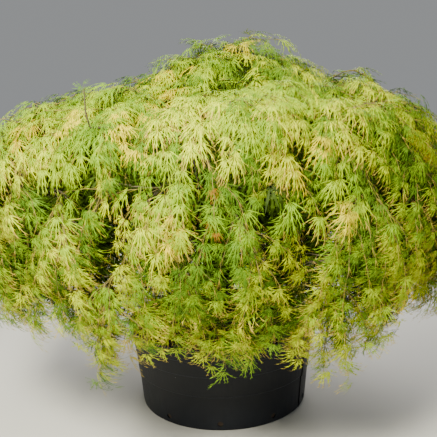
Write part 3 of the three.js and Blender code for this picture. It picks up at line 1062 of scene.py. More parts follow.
old_bark = bark_finish("old_bark", OLD_TONES, stretch=0.25, lichen_share=0.55)
young_bark = bark_finish("young_bark", YOUNG_AND_SHADE_TONES, stretch=0.6, lichen_share=0.15)
shoot_bark = bark_finish("shoot_bark", SHOOT_TONES, stretch=0.8, lichen_share=0.0)

# %% The trunk and boughs in one skin
SKIN_VOXEL = 0.0052
RELIEF_HEIGHT = 0.0042
RELIEF_MIDDLE = 1.05
WELD_REACH = 0.00005
SOFTEN_ROUNDS = 12


def relief_tree():
    """Presses long cracks into a skin."""
    tree, given, end = geometry_tree(
        "bark relief", [("Depth", "NodeSocketFloat"), ("Finish", "NodeSocketMaterial")]
    )
    place = add(tree, "GeometryNodeInputPosition").outputs[0]
    long = add(tree, "ShaderNodeVectorMath", {0: place, 1: (1.0, 1.0, 0.22)}, operation="MULTIPLY")
    cracks = noise(tree, long.outputs[0], scale=75.0, detail=5.0)
    both = maths(tree, "ADD", cracks, noise(tree, place, scale=14.0, detail=2.0))
    deep = maths(tree, "MULTIPLY", maths(tree, "SUBTRACT", both, RELIEF_MIDDLE), given["Depth"])
    normal = add(tree, "GeometryNodeInputNormal").outputs[0]
    push = add(tree, "ShaderNodeVectorMath", {0: normal, "Scale": deep}, operation="SCALE").outputs[0]
    moved = add(tree, "GeometryNodeSetPosition", {"Geometry": given["Geometry"], "Offset": push})
    end(dress(tree, moved.outputs[0], given["Finish"]))
    return tree


def wood_skin():
    """The frame's trunk and boughs, remeshed into one smooth body with the bark's relief."""
    points, faces, _ = joined_nodes(wood_names)
    limbs = new_piece("limbs", new_mesh("limbs", points, faces))
    weld = limbs.modifiers.new("merge", "WELD")
    weld.merge_threshold = WELD_REACH
    skin = limbs.modifiers.new("skin", "REMESH")
    skin.mode = "VOXEL"
    skin.voxel_size = SKIN_VOXEL
    skin.use_smooth_shade = True
    soften = limbs.modifiers.new("soften", "SMOOTH")
    soften.factor = 0.6
    soften.iterations = SOFTEN_ROUNDS
    run_tree(limbs, relief_tree(), {"Depth": RELIEF_HEIGHT, "Finish": old_bark})
    return settle(limbs, "trunk_and_boughs")


limbs = wood_skin()
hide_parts(*wood_names)
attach(limbs, "root")

# %% The branches
branch_lines = polyline_mesh("branch_lines", skeleton.place, branch_edges, branch_radii)
branches = new_piece("branch_lines", branch_lines)
run_tree(branches, edge_wood, {"Sides": 6, "Finish": young_bark})
branches = settle(branches, "branches")
branches.data.shade_smooth()
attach(branches, "root")

# %% [markdown]
# ## Shoots
# Every part of the skin needs a shoot that ends there, or the crown would show holes. So the tips
# come first: darts spread them evenly over the skin, and more hang along the lower edge, lowest at
# the sides and behind. Each tip is then reached from wood about a hand's length up the slope, by a
# shoot that rises to the light, arches over and hangs. Shorter shoots in the shade are found the
# same way.

# %% Spreading the tips
OUTER_TIP_SPACING = 0.110
INNER_TIP_SPACING = 0.136
HEM_TIP_LIFT = 0.02
HEM_TIP_DROP = 0.10
HEM_LEAST_DROP = 0.3
HEM_RAG = 0.035
HEM_SHARES = (0, 0.33, 0.67)
HEM_GAP = 0.21
HEM_INWARDS = 0.13
HEM_OUTWARDS = 0.02
OUTER_DARTS = 18000
INNER_DARTS = 24000


def throw_tips(spacing, darts, seed):
    """Evenly spread shoot tips on the skin, each with the way out and its mass."""
    chance = random.Random(seed)
    kept = []
    places = np.empty((0, 3))
    for _ in range(darts):
        found = throw_dart(chance)
        if found is None or found[0].z < hem_height(found[0]):
            continue
        if len(kept) and np.min(np.linalg.norm(places - np.array(found[0]), axis=1)) < spacing:
            continue
        kept.append(found)
        places = np.vstack([places, np.array(found[0])])
    return kept


def hem_tips(seed):
    """Tips along the lower edge of the masses, hanging lower at the sides and back than in front."""
    chance = random.Random(seed)
    tips = []
    for place in range(HEM_BINS):
        lowest, following = hem_points[place], hem_points[(place + 1) % HEM_BINS]
        for share in HEM_SHARES:
            if share and (following - lowest).length > HEM_GAP:
                continue
            spot = lowest.lerp(following, share)
            out = outwards_from(spot)
            level = hem_height(spot) if share else spot.z
            drop = HEM_TIP_DROP * (1 - max(0.0, -out.y) ** 2) * chance.uniform(HEM_LEAST_DROP, 1)
            spot = Vector((spot.x, spot.y, level + HEM_TIP_LIFT - drop - chance.uniform(0, HEM_RAG)))
            spot += out * chance.uniform(-HEM_INWARDS, HEM_OUTWARDS)
            tips.append((spot, out, hem_owners[place]))
    return tips


outer_tips = throw_tips(OUTER_TIP_SPACING, OUTER_DARTS, SEED + 5) + hem_tips(SEED + 9)
inner_tips = throw_tips(INNER_TIP_SPACING, INNER_DARTS, SEED + 6)
print("outer tips:", len(outer_tips), "inner tips:", len(inner_tips))

# %% Growing a shoot to its tip
SHOOT_STEP = 0.034
OUTER_REACH = 0.25
INNER_REACH = 0.21
SWAY = 0.004
FLOW_COST = 0.13
WOOD_COST = 0.06
SHOOT_LEAVING = 0.42
SHOOT_ARRIVING = 0.36
KEPT_IN = 0.6
ARCH_LONGER = 1.1
FLAT_HEIGHT = 1.65
HANGING_HEIGHT = 0.95
joint_places = np.array(skeleton.place)
joint_headings = np.array(skeleton.heading)
drape_spots = np.array([drape["spot"] for drape in drapes])


def host_joint(tip, flow, reach):
    """The joint from which a shoot of about the wanted reach flows down to a tip."""
    way = np.array(tip) - joint_places
    distance = np.linalg.norm(way, axis=1) + 1e-6
    with_flow = way @ np.array(flow) / distance
    with_wood = np.einsum("ij,ij->i", way, joint_headings) / distance
    cost = np.abs(distance - reach) + FLOW_COST * (1 - with_flow) + WOOD_COST * (1 - with_wood)
    return int(np.argmin(cost))


def hang_at(height):
    """How strongly shoots and leaves hang, from 0 near the top to 1 at the hem."""
    return min(1.0, max(0.0, (FLAT_HEIGHT - height) / (FLAT_HEIGHT - HANGING_HEIGHT)))


def nearest_drape(spot):
    """The drape that a place on the skin belongs to."""
    return drapes[nearest_of(drape_spots, spot)]


def grow_shoot(end, way_out, reach, depth, chance):
    """A shoot as a polyline from the wood to its end."""
    hang = hang_at(end.z)
    flow = (slope_down(way_out, end) + outwards_from(end) * (0.8 - 0.5 * hang)).normalized()
    joint = host_joint(end, flow, reach)
    start = skeleton.place[joint]
    span = (end - start).length
    towards = (end - start) / max(span, 1e-6)
    # It leaves between the wood's heading, its goal and the way out, and arrives with the flow.
    leave = (skeleton.heading[joint] * 0.35 + towards * 0.6 + way_out * 0.75).normalized()
    arrive = (flow * 0.8 + towards * 0.3 - UP * (0.3 * hang)).normalized()
    near = start + leave * (SHOOT_LEAVING * span)
    far = end - arrive * (SHOOT_ARRIVING * span)
    count = max(4, round(ARCH_LONGER * span / SHOOT_STEP))
    points = [start]
    for i in range(1, count + 1):
        point = bezier(start, near, far, end, i / count)
        points.append(keep_inside(point, depth * KEPT_IN) + jitter(chance, SWAY))
    return points

# %% Growing all of them
OUTER_DEPTHS = (0.022, 0.042)
INNER_DEPTHS = (0.085, 0.17)
FRINGE_DEPTHS = (0.05, 0.11)
FRINGE_SPACING = 0.098
FRINGE_TOP = 1.0
REACH_RANGE = (0.8, 1.25)
shoots = []
chance = random.Random(SEED + 2)


def grow_to(tips, outer, depths):
    """Grows a shoot to every tip."""
    usual_reach = OUTER_REACH if outer else INNER_REACH
    for spot, way_out, mass in tips:
        drape = nearest_drape(spot)
        reach = usual_reach * chance.uniform(*REACH_RANGE)
        depth = chance.uniform(*depths)
        inwards = depth + drape["sink"] * (1 - hang_at(spot.z))
        points = grow_shoot(spot - way_out * inwards, way_out, reach, depth, chance)
        shoots.append({"points": points, "drape": drape, "mass": mass, "outer": outer})


fringe_tips = [tip for tip in throw_tips(FRINGE_SPACING, INNER_DARTS, SEED + 7) if tip[0].z < FRINGE_TOP]
grow_to(outer_tips, True, OUTER_DEPTHS)
grow_to(fringe_tips, True, FRINGE_DEPTHS)
grow_to(inner_tips, False, INNER_DEPTHS)
print("shoots:", len(shoots), "outer:", sum(shoot["outer"] for shoot in shoots))

# %% [markdown]
# A shoot does not always lie where its tip is, so some places stay thin. They are found by counting
# the shoots' points within a hand's breadth, and a second round of shoots is grown to them.

# %% Filling the thin places
BARE_REACH = 0.075
BARE_SPACING = 0.075
BARE_COUNT = 4
BARE_DEPTH = 0.06


def bare_tips(seed):
    """Tips where few points of the outer shoots so far lie close by."""
    places = [point for shoot in shoots if shoot["outer"] for point in shoot["points"]]
    near = KDTree(len(places))
    for index, point in enumerate(places):
        near.insert(point, index)
    near.balance()
    tips = []
    for tip in throw_tips(BARE_SPACING, INNER_DARTS, seed):
        middle = tip[0] - tip[1] * BARE_DEPTH
        if len(near.find_range(middle, BARE_REACH)) < BARE_COUNT:
            tips.append(tip)
    return tips


thin = bare_tips(SEED + 20)
grow_to(thin, True, OUTER_DEPTHS)
print("thin places filled:", len(thin))

# %% The thin dark shoot that stands up on one shoulder
UPRIGHT_BEARING_DEG = -118.0
UPRIGHT_HEIGHT = 0.14
UPRIGHT_LEAN = 0.02
UPRIGHT_SINK = 0.06
UPRIGHT_LIFT = 0.52
UPRIGHT_JOINTS = 6
upright_way = level_way(math.radians(UPRIGHT_BEARING_DEG)) + UP * UPRIGHT_LIFT
upright_start = skin_at(upright_way.normalized())[0]
upright_start += (HEART - upright_start).normalized() * UPRIGHT_SINK
upright = [skeleton.place[nearest_of(joint_places, upright_start)]]
for i in range(UPRIGHT_JOINTS):
    lean = outwards_from(upright_start) * (UPRIGHT_LEAN * min(1.0, i / 2))
    upright.append(upright_start + lean + UP * (UPRIGHT_HEIGHT * i / (UPRIGHT_JOINTS - 1)))
print("upright shoot from", [round(v, 2) for v in upright_start])

# %% [markdown]
# ## One leaf
# A laceleaf is cut to the base into about seven narrow lobes, and each lobe is cut again into
# forward-pointing teeth. The lobes arch out from the end of a thin stalk and droop. Each lobe is a
# narrow strip with a triangle for every tooth, so a leaf has just over sixty faces. A few shapes
# with other angles, lengths and droop are enough for variety. The leaves in the shade are plainer,
# seven narrow lobes with no teeth, and those deep inside have five broad ones.

# %% The outline of a lobe
STALK_LENGTH = 0.42
STALK_RADIUS = 0.011
STALK_FACES = 3
TOOTH_FIRST = 0.2
TOOTH_SPREAD = 0.62
TOOTH_HALF = 0.035
TOOTH_STAGGER = 0.03
TOOTH_FORWARD = 0.17
TOOTH_REACH = 0.078
TOOTH_FALL = -0.02


def lobe_frame(angle_deg, length, droop, bow):
    """A function that gives a lobe's points. The lobe leaves at an angle, bows sideways and droops."""

    def at(along, aside, lift=0.0):
        turn = math.radians(angle_deg + bow * along)
        way = Vector((math.sin(turn), math.cos(turn), 0))
        side = Vector((math.cos(turn), -math.sin(turn), 0))
        fall = 0.6 * droop * along
        out = length * along * math.cos(fall)
        down = length * (lift - along * math.sin(fall))
        return way * out + side * (aside * length) + UP * down

    return at


class LeafShape:
    """Collects the points and faces of one leaf whose middle lobe is one unit long."""

    def __init__(self, stalk_bend_deg):
        self.points = []
        self.faces = []
        self.tip_faces = []
        bend = math.radians(stalk_bend_deg)
        back = Vector((0, -math.cos(bend), -math.sin(bend))) * STALK_LENGTH
        turns = np.radians([90, 210, 330])
        corners = [Vector((math.cos(turn), 0, math.sin(turn))) * STALK_RADIUS for turn in turns]
        self.points += [back + corner for corner in corners] + [Vector()]
        self.faces += [(1, 0, 3), (2, 1, 3), (0, 2, 3)]

    def kite(self, angle_deg, length, droop, half):
        """Adds a plain lobe of two faces."""
        first = len(self.points)
        at = lobe_frame(angle_deg, length, droop, 0)
        self.points += [at(0.02, 0), at(0.45, -half), at(0.45, half), at(1, 0)]
        self.faces += [(first, first + 2, first + 1), (first + 1, first + 2, first + 3)]

    def lobe(self, angle_deg, length, droop, bow, half, teeth):
        """Adds a toothed lobe."""
        at = lobe_frame(angle_deg, length, droop, bow)
        first = len(self.points)
        wide = [(0.3, half), (0.64, half * 0.8)]
        self.points.append(at(0.02, 0))
        for along, width in wide:
            self.points += [at(along, -width), at(along, width)]
        self.points.append(at(1.0, 0))
        self.faces += [
            (first, first + 2, first + 1),
            (first + 1, first + 2, first + 4, first + 3),
            (first + 3, first + 4, first + 5),
        ]
        self.tip_faces.append(len(self.faces) - 1)
        for i in range(teeth):
            middle = TOOTH_FIRST + TOOTH_SPREAD * i / max(1, teeth - 1)
            reach = half + TOOTH_REACH * (1.1 - 0.6 * middle)
            for side in (-1, 1):
                foot = middle + TOOTH_STAGGER * side
                base = len(self.points)
                self.points.append(at(foot - TOOTH_HALF, side * half * 0.5))
                self.points.append(at(foot + TOOTH_HALF, side * half * 0.5))
                self.points.append(at(foot + TOOTH_FORWARD, side * reach, TOOTH_FALL))
                order = (base, base + 1, base + 2) if side < 0 else (base + 1, base, base + 2)
                self.faces.append(order)
                if i == teeth - 1:
                    self.tip_faces.append(len(self.faces) - 1)

    def mesh(self, name):
        """The leaf as a mesh whose stalk and tips are marked."""
        made = new_mesh(name, self.points, self.faces)
        numbers = range(len(self.faces))
        store(made, "stalk", "BOOLEAN", [i < STALK_FACES for i in numbers], "FACE")
        store(made, "tip", "BOOLEAN", [i in self.tip_faces for i in numbers], "FACE")
        return made

# %% The leaf shapes
STALK_BENDS = [26, 34, 42, 30, 38, 22, 33, 45, 28]
SHADE_KINDS = 4
SIDE_LOBES = [(18, 0.96, 3), (39, 0.85, 3), (63, 0.60, 2)]
LOBE_HALF = 0.0155
TEETH = 3
SHADE_LOBES = [(0, 1.0), (-25, 0.95), (25, 0.95), (-52, 0.84), (52, 0.84), (-84, 0.6), (84, 0.6)]
SHADE_LOBE_HALF = 0.027
DEEP_LOBES = [(0, 1.0), (-36, 0.92), (36, 0.92), (-76, 0.7), (76, 0.7)]
DEEP_LOBE_HALF = 0.058
MIDDLE_TURN_DEG = 5
MIDDLE_BOW_DEG = 10
SIDE_TURN_DEG = 9
SIDE_BOW_DEG = 16
SIDE_LENGTHS = (0.8, 1.12)
SIDE_DROOPS = (0.8, 1.5)
LEAST_DROOP = 0.25
DROOP_STEP = 0.075
PLAIN_TURN_DEG = 7
PLAIN_LEAST_DROOP = 0.4
PLAIN_DROOP_STEP = 0.2
TOOTHED_SEED = 100
PLAIN_SEED = 200


def toothed_leaf(index):
    """A leaf of the outer sprays: seven toothed lobes."""
    chance = random.Random(TOOTHED_SEED + index)
    leaf = LeafShape(STALK_BENDS[index])
    droop = LEAST_DROOP + DROOP_STEP * index
    turned = chance.uniform(-MIDDLE_TURN_DEG, MIDDLE_TURN_DEG)
    leaf.lobe(turned, 1.0, droop, chance.uniform(-MIDDLE_BOW_DEG, MIDDLE_BOW_DEG), LOBE_HALF, TEETH)
    for side in (-1, 1):
        for angle, length, teeth in SIDE_LOBES:
            turned = side * (angle + chance.uniform(-SIDE_TURN_DEG, SIDE_TURN_DEG))
            long = length * chance.uniform(*SIDE_LENGTHS)
            bow = -side * chance.uniform(0, SIDE_BOW_DEG)
            leaf.lobe(turned, long, droop * chance.uniform(*SIDE_DROOPS), bow, LOBE_HALF, teeth)
    return leaf.mesh(f"toothed_leaf_{index}")


def plain_leaf(index, deep):
    """A leaf of the shade, seven narrow lobes without teeth, or of the depth, five broad ones."""
    chance = random.Random(PLAIN_SEED + index)
    leaf = LeafShape(STALK_BENDS[index])
    droop = PLAIN_LEAST_DROOP + PLAIN_DROOP_STEP * index
    half = DEEP_LOBE_HALF if deep else SHADE_LOBE_HALF
    for angle, length in DEEP_LOBES if deep else SHADE_LOBES:
        turned = angle + chance.uniform(-PLAIN_TURN_DEG, PLAIN_TURN_DEG)
        leaf.kite(turned, length, droop, half)
    return leaf.mesh(f"{'deep' if deep else 'plain'}_leaf_{index}")


def shape_collection(name, meshes):
    """Puts leaf shapes into a collection that the leaves are picked from."""
    shapes = bpy.data.collections.new(name)
    bpy.context.scene.collection.children.link(shapes)
    for mesh in meshes:
        shapes.objects.link(bpy.data.objects.new(mesh.name, mesh))
    return shapes


toothed_shapes = shape_collection("toothed_shapes", [toothed_leaf(i) for i in range(len(STALK_BENDS))])
plain_shapes = shape_collection("plain_shapes", [plain_leaf(i, False) for i in range(SHADE_KINDS)])
deep_shapes = shape_collection("deep_shapes", [plain_leaf(i, True) for i in range(SHADE_KINDS)])

# %% [markdown]
# ## Setting the leaves
# Leaves stand in pairs along a shoot, each pair turned from the last, and one ends the shoot. A
# stalk leaves the shoot sideways and a little forwards, and the blade hangs from its end with its
# upper side to the light. For every leaf this gives a place, a turn and a size.

# %% Leaves along a shoot
PAIR_SPACING = 0.042
SHADE_PAIR_SPACING = 0.023
HEM_TURN_TOP = 0.98
HEM_TURN_DEPTH = 0.15
LIGHT_SPREAD = 0.3
UNEVEN_SPACING = (0.85, 1.15)


def leaf_turn(stalk, light, bend_deg):
    """The turn that puts a leaf's stalk along its own direction, with its blade towards the light."""
    upper = light - stalk * light.dot(stalk)
    upper = upper.normalized() if upper.length > 1e-3 else stalk.orthogonal().normalized()
    bend = math.radians(bend_deg)
    forward = stalk * math.cos(bend) - upper * math.sin(bend)
    top = stalk * math.sin(bend) + upper * math.cos(bend)
    across = forward.cross(top)
    return Matrix((across, forward, top)).transposed().to_euler()


def along_line(points, distance):
    """The place and heading at a distance along a polyline."""
    for before, after in zip(points, points[1:]):
        piece = (after - before).length
        if distance <= piece:
            way = (after - before).normalized()
            return before + way * distance, way
        distance -= piece
    return points[-1], (points[-1] - points[-2]).normalized()


def line_length(points):
    """The length of a polyline."""
    return sum((b - a).length for a, b in zip(points, points[1:]))


def leaves_on(points, spacing, first, sizes, kinds, chance):
    """Pairs of leaves along a shoot, and one at its tip."""
    total = line_length(points)
    made = []
    distance = first
    pair = chance.randint(0, 1)
    while distance < total + 1e-6:
        place, way = along_line(points, distance)
        hang = hang_at(place.z)
        level = level_way(chance.uniform(0, 2 * math.pi))
        at_hem = min(1.0, max(0.0, (HEM_TURN_TOP - place.z) / HEM_TURN_DEPTH))
        # Near the top the light comes from above, lower down from outside, at the hem from anywhere.
        light = (place - HEART).normalized() * (0.25 + 0.5 * hang) + UP * (0.95 - 0.55 * hang)
        light += level * (0.15 * hang + 0.6 * at_hem)
        light = (light + jitter(chance, LIGHT_SPREAD)).normalized()
        across = way.cross(light)
        across = across.normalized() if across.length > 1e-3 else way.orthogonal().normalized()
        above = across.cross(way).normalized()
        # Every second pair stands up from the shoot, the others lie level with it.
        for side in (-1, 1):
            lean = 1.0 if pair % 2 else 0.45
            rise = 0.85 - 0.8 * lean + chance.uniform(-0.25, 0.3)
            stalk = across * (side * (0.95 - 0.25 * hang) * lean) + above * rise + way
            stalk = (stalk - UP * (0.85 * hang)).normalized()
            made.append((place, stalk, light, chance.uniform(*sizes), chance.choice(kinds)))
        pair += 1
        distance += spacing * chance.uniform(*UNEVEN_SPACING)
    place, way = along_line(points, total)
    light = ((place - HEART).normalized() * 0.6 + UP * 0.6).normalized()
    made.append((place, way, light, chance.uniform(*sizes), chance.choice(kinds)))
    return made

# %% [markdown]
# ## Colours, dealt out by spray
# The plant is mostly a fresh yellow-green, paler where new growth catches the light. The leaves in
# the shade inside the crown and between the drapes are painted a near-black green, as painted shade.
# Some sprays have turned gold or peach, and a few leaves are rust red. Each shoot takes one colour,
# gold where the named places are, and by chance elsewhere, and the leaves near its foot are a tone
# deeper. Each colour is its own material and its own pieces.

# %% The colours
LEAF_COLOURS = {
    "pale_lime": ((0.52, 0.59, 0.007), (0.39, 0.50, 0.005)),
    "lime": ((0.33, 0.45, 0.008), (0.23, 0.36, 0.006)),
    "fresh_green": ((0.21, 0.35, 0.010), (0.14, 0.27, 0.007)),
    "mid_green": ((0.12, 0.23, 0.010), (0.065, 0.145, 0.007)),
    "gold": ((0.62, 0.50, 0.012), (0.50, 0.46, 0.010)),
    "peach": ((0.56, 0.40, 0.012), (0.46, 0.38, 0.010)),
    "rust": ((0.30, 0.12, 0.015), (0.22, 0.11, 0.012)),
    # The darkest colour is painted shade: near-black green leaves that stand for the shade inside the
    # crown.
    "deep_green": ((0.034, 0.060, 0.004), (0.016, 0.030, 0.003)),
}
TAN_TIP = ((0.52, 0.36, 0.07), (0.46, 0.42, 0.05))
STALK_TONES = ((0.34, 0.32, 0.03), (0.30, 0.19, 0.04))


def leaf_finish(name, light, dark):
    """A thin leaf: two tones of its colour in soft patches, with a low sheen."""
    material, tree, shader = plain_finish(f"leaf_{name}", light, 0.5)
    place = add(tree, "ShaderNodeTexCoord").outputs["Object"]
    patches = noise(tree, place, scale=21.0, detail=4.0)
    share = remap(tree, patches, given=(0.35, 0.65), wanted=(0.0, 1.0))
    tree.links.new(two_tones(tree, share, dark, light), shader.inputs["Base Color"])
    shader.inputs["Specular IOR Level"].default_value = 0.05
    return material


leaf_materials = {name: leaf_finish(name, *tones) for name, tones in LEAF_COLOURS.items()}
tip_material = leaf_finish("tan_tip", *TAN_TIP)
stalk_material = leaf_finish("stalk", *STALK_TONES)

# %% Which shoot gets which colour
GOLD_PLACES = [(-10, 1.235), (1, 0.87), (11, 1.335), (25, 1.20), (-21, 1.56), (-9, 1.11), (28, 1.06)]
RUST_PLACES = [(-1.5, 1.27), (-0.4, 1.15)]
GOLD_REACH = 0.04
RUST_REACH = 0.02
RUST_SHRINK = 0.5
FRONT_DEG = -90
SHARES = {"pale_lime": 0.34, "lime": 0.34, "fresh_green": 0.20, "mid_green": 0.12}
GOLD_BELOW = 0.03
PEACH_BELOW = 0.045
DRAPE_TONE_SHARE = 0.3
GREENER_ABOVE = 1.62
GREENER_SHARE = 0.35


def near_place(point, places, reach):
    """Whether a point lies near one of the places given by bearing from the front and height."""
    out = math.hypot(point.x, point.y)
    for from_front, height in places:
        bearing = math.radians(FRONT_DEG + from_front)
        spot = Vector((out * math.cos(bearing), out * math.sin(bearing), height))
        if (spot - point).length < reach:
            return True
    return False


def shoot_colour(shoot, chance):
    """The colour of a whole shoot."""
    middle = shoot["points"][-2]
    # Shoots inside the crown take the near-black green that paints the shade there.
    if not shoot["outer"]:
        return "deep_green"
    if near_place(middle, GOLD_PLACES, GOLD_REACH):
        return "gold"
    draw = chance.random()
    if draw < PEACH_BELOW:
        return "gold" if draw < GOLD_BELOW else "peach"
    if middle.z > GREENER_ABOVE and chance.random() < GREENER_SHARE:
        return chance.choice(["fresh_green", "mid_green"])
    if chance.random() < DRAPE_TONE_SHARE:
        return shoot["drape"]["tone"]
    return chance.choices(list(SHARES), list(SHARES.values()))[0]

# %% Every leaf of the crown
OUTER_SIZES = (0.072, 0.112)
INNER_SIZES = (0.066, 0.09)
OUTER_FIRST = 0.05
INNER_FIRST = 0.02
UPRIGHT_PAIR_SPACING = 0.03
UPRIGHT_FIRST = 0.01
UPRIGHT_SIZES = (0.035, 0.05)
KINDS = range(len(STALK_BENDS))
SHADE_KIND_LIST = range(SHADE_KINDS)
GREENER_BASE = 0.45
DEEPER = {
    "pale_lime": "lime",
    "lime": "fresh_green",
    "fresh_green": "mid_green",
    "gold": "lime",
    "peach": "lime",
}
REGION_OF = {"cap": "upper", "upper": "upper", "middle": "middle", "skirt": "skirt"}


def region_of(mass):
    """The part of the crown that a mass of the frame belongs to."""
    return REGION_OF[mass.split("_")[1]]


chance = random.Random(SEED + 3)
for drape in drapes:
    drape["tone"] = chance.choices(list(SHARES), list(SHARES.values()))[0]
leaf_sets = {}
for shoot in shoots:
    colour = shoot_colour(shoot, chance)
    region = region_of(shoot["mass"])
    if shoot["outer"]:
        made = leaves_on(shoot["points"], PAIR_SPACING, OUTER_FIRST, OUTER_SIZES, KINDS, chance)
    else:
        points = shoot["points"]
        made = leaves_on(points, SHADE_PAIR_SPACING, INNER_FIRST, INNER_SIZES, SHADE_KIND_LIST, chance)
    rusty = [leaf for leaf in made if shoot["outer"] and near_place(leaf[0], RUST_PLACES, RUST_REACH)]
    if rusty:
        made = [leaf for leaf in made if leaf not in rusty]
        small = [(*leaf[:3], leaf[3] * RUST_SHRINK, leaf[4]) for leaf in rusty]
        leaf_sets.setdefault((region, "rust"), []).extend(small)
    greener = round(len(made) * GREENER_BASE) if colour in DEEPER else 0
    leaf_sets.setdefault((region, DEEPER.get(colour, colour)), []).extend(made[:greener])
    leaf_sets.setdefault((region, colour), []).extend(made[greener:])
upright_tip = upright[-2:]
upright_leaves = leaves_on(upright_tip, UPRIGHT_PAIR_SPACING, UPRIGHT_FIRST, UPRIGHT_SIZES, KINDS, chance)
leaf_sets[("upper", "mid_green")].extend(upright_leaves)
print("leaves:", sum(len(made) for made in leaf_sets.values()))
print("toothed:", sum(len(made) for (_, colour), made in leaf_sets.items() if colour != "deep_green"))

# %% The leaves as pieces
LEAVES_IN_PIECE = 2100
PLAIN_IN_PIECE = 7000
TAN_TIPPED = [("skirt", "pale_lime"), ("skirt", "lime"), ("skirt", "gold"), ("middle", "pale_lime")]


def leaf_tree():
    """Sets a leaf shape on every point, by the point's turn, size and kind."""
    tree, given, end = geometry_tree(
        "leaves on points",
        [
            ("Leaf shapes", "NodeSocketCollection"),
            ("Leaf finish", "NodeSocketMaterial"),
            ("Stalk finish", "NodeSocketMaterial"),
            ("Tip finish", "NodeSocketMaterial"),
        ],
    )
    shapes = add(
        tree,
        "GeometryNodeCollectionInfo",
        {"Collection": given["Leaf shapes"], "Separate Children": True, "Reset Children": True},
    )
    turn = add(tree, "FunctionNodeEulerToRotation", {0: attribute(tree, "turn", "FLOAT_VECTOR")})
    placed = add(
        tree,
        "GeometryNodeInstanceOnPoints",
        {
            "Points": given["Geometry"],
            "Instance": shapes.outputs[0],
            "Pick Instance": True,
            "Instance Index": attribute(tree, "kind", "INT"),
            "Rotation": turn.outputs[0],
            "Scale": attribute(tree, "size", "FLOAT"),
        },
    )
    real = add(tree, "GeometryNodeRealizeInstances", {"Geometry": placed.outputs[0]})
    finished = dress(tree, real.outputs[0], given["Leaf finish"])
    finished = dress(tree, finished, given["Stalk finish"], attribute(tree, "stalk", "BOOLEAN"))
    end(dress(tree, finished, given["Tip finish"], attribute(tree, "tip", "BOOLEAN")))
    return tree


def leaf_points(leaves):
    """A mesh of bare points, one for each leaf, with its turn, size and kind."""
    places = []
    turns = []
    for place, stalk, light, size, kind in leaves:
        places.append(place + stalk * (STALK_LENGTH * size))
        turns.append(tuple(leaf_turn(stalk, light, STALK_BENDS[kind])))
    mesh = new_mesh("leaf_points", places, [])
    store(mesh, "turn", "FLOAT_VECTOR", np.ravel(turns))
    store(mesh, "size", "FLOAT", [leaf[3] for leaf in leaves])
    store(mesh, "kind", "INT", [leaf[4] for leaf in leaves])
    return mesh


setting = leaf_tree()


def make_leaves(sets, label, shade_shapes):
    """Makes the pieces of a table of leaves by region and colour, and returns them."""
    pieces = []
    for (region, colour), leaves in sorted(sets.items()):
        plain = colour == "deep_green"
        most = PLAIN_IN_PIECE if plain else LEAVES_IN_PIECE
        for part, start in enumerate(range(0, len(leaves), most)):
            points = new_piece("leaf_points", leaf_points(leaves[start : start + most]))
            values = {
                "Leaf shapes": shade_shapes if plain else toothed_shapes,
                "Leaf finish": leaf_materials[colour],
                "Stalk finish": stalk_material,
                "Tip finish": tip_material if (region, colour) in TAN_TIPPED else leaf_materials[colour],
            }
            run_tree(points, setting, values)
            piece = settle(points, f"{label}_{region}_{colour}_{part + 1}")
            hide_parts(*[name for name in foliage_names if region_of(name) == region])
            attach(piece, "root")
            pieces.append(piece)
    return pieces


leaf_pieces = make_leaves(leaf_sets, "leaves", plain_shapes)

# %% [markdown]
# ## Closing the openings
# The real crown lets hardly any light through. Lines of sight are drawn through it from all round,
# in level and slanting bundles and in fans from the eye of someone walking past. Where a line meets
# neither leaf nor wood, a short shoot with a few leaves, painted near-black as shade, is grown into
# its way. About 2,400 such shoots close the crown just where it is open, which takes fewer leaves
# than an even layer would.

# %% Lines of sight through the crown
SIGHT_BEARINGS = 16
SIGHT_LIFTS_DEG = [2, 21, 35, 60]
SIGHT_SPACING = 0.036
WALK_RADIUS = 3.29
WALK_EYE = 1.56
WALK_SPACING = 0.022
SIGHT_DISTANCE = 4.0
SIGHT_HALF_WIDTH = 1.28
SIGHT_HALF_HEIGHT = 0.95
DEEP = 0.22
THROUGH_THE_HOLLOW = 0.12
LOWEST_CLOSING = 0.80
NARROW_BELOW = 0.9
CLOSE_ROUNDS = 4
CLOSE_SPACING = 0.068
CLOSE_DEPTH = 0.18
CLOSE_FURTHEST = 0.32
CLOSE_REACH = 0.13
CLOSE_SIZES = (0.10, 0.13)
CLOSE_LEAFY = 0.045


def screen(pieces):
    """All faces of some pieces, ready to be met by lines of sight."""
    return BVHTree.FromPolygons(*joined(piece.data for piece in pieces))


def buried(place):
    """How far a place lies below the skin on the way out from the heart."""
    way = place - HEART
    skin = skin_at(way.normalized())
    return (skin[0] - HEART).length - way.length if skin else SIGHT_DISTANCE


def sight_line(eye, back):
    """A line of sight that goes deep into the crown, or nothing."""
    spot, normal, face, _ = crown.ray_cast(eye, -back)
    if spot is None:
        return None
    inside = spot - back * min(CLOSE_FURTHEST, CLOSE_DEPTH / max(0.1, normal.dot(back)))
    if inside.z < LOWEST_CLOSING:
        return None
    left = crown.ray_cast(eye - back * (2 * SIGHT_DISTANCE), back)[0]
    if buried((spot + left) / 2) < DEEP and buried(left) < THROUGH_THE_HOLLOW:
        return None
    return {"eye": eye, "way": -back, "inside": inside, "out": normal, "mass": crown_owners[face]}


def grid(spacing):
    """The places of a flat grid over the crown, across and up."""
    across = round(SIGHT_HALF_WIDTH / spacing)
    up = round(SIGHT_HALF_HEIGHT / spacing)
    return [(i * spacing, j * spacing) for i in range(-across, across + 1) for j in range(-up, up + 1)]


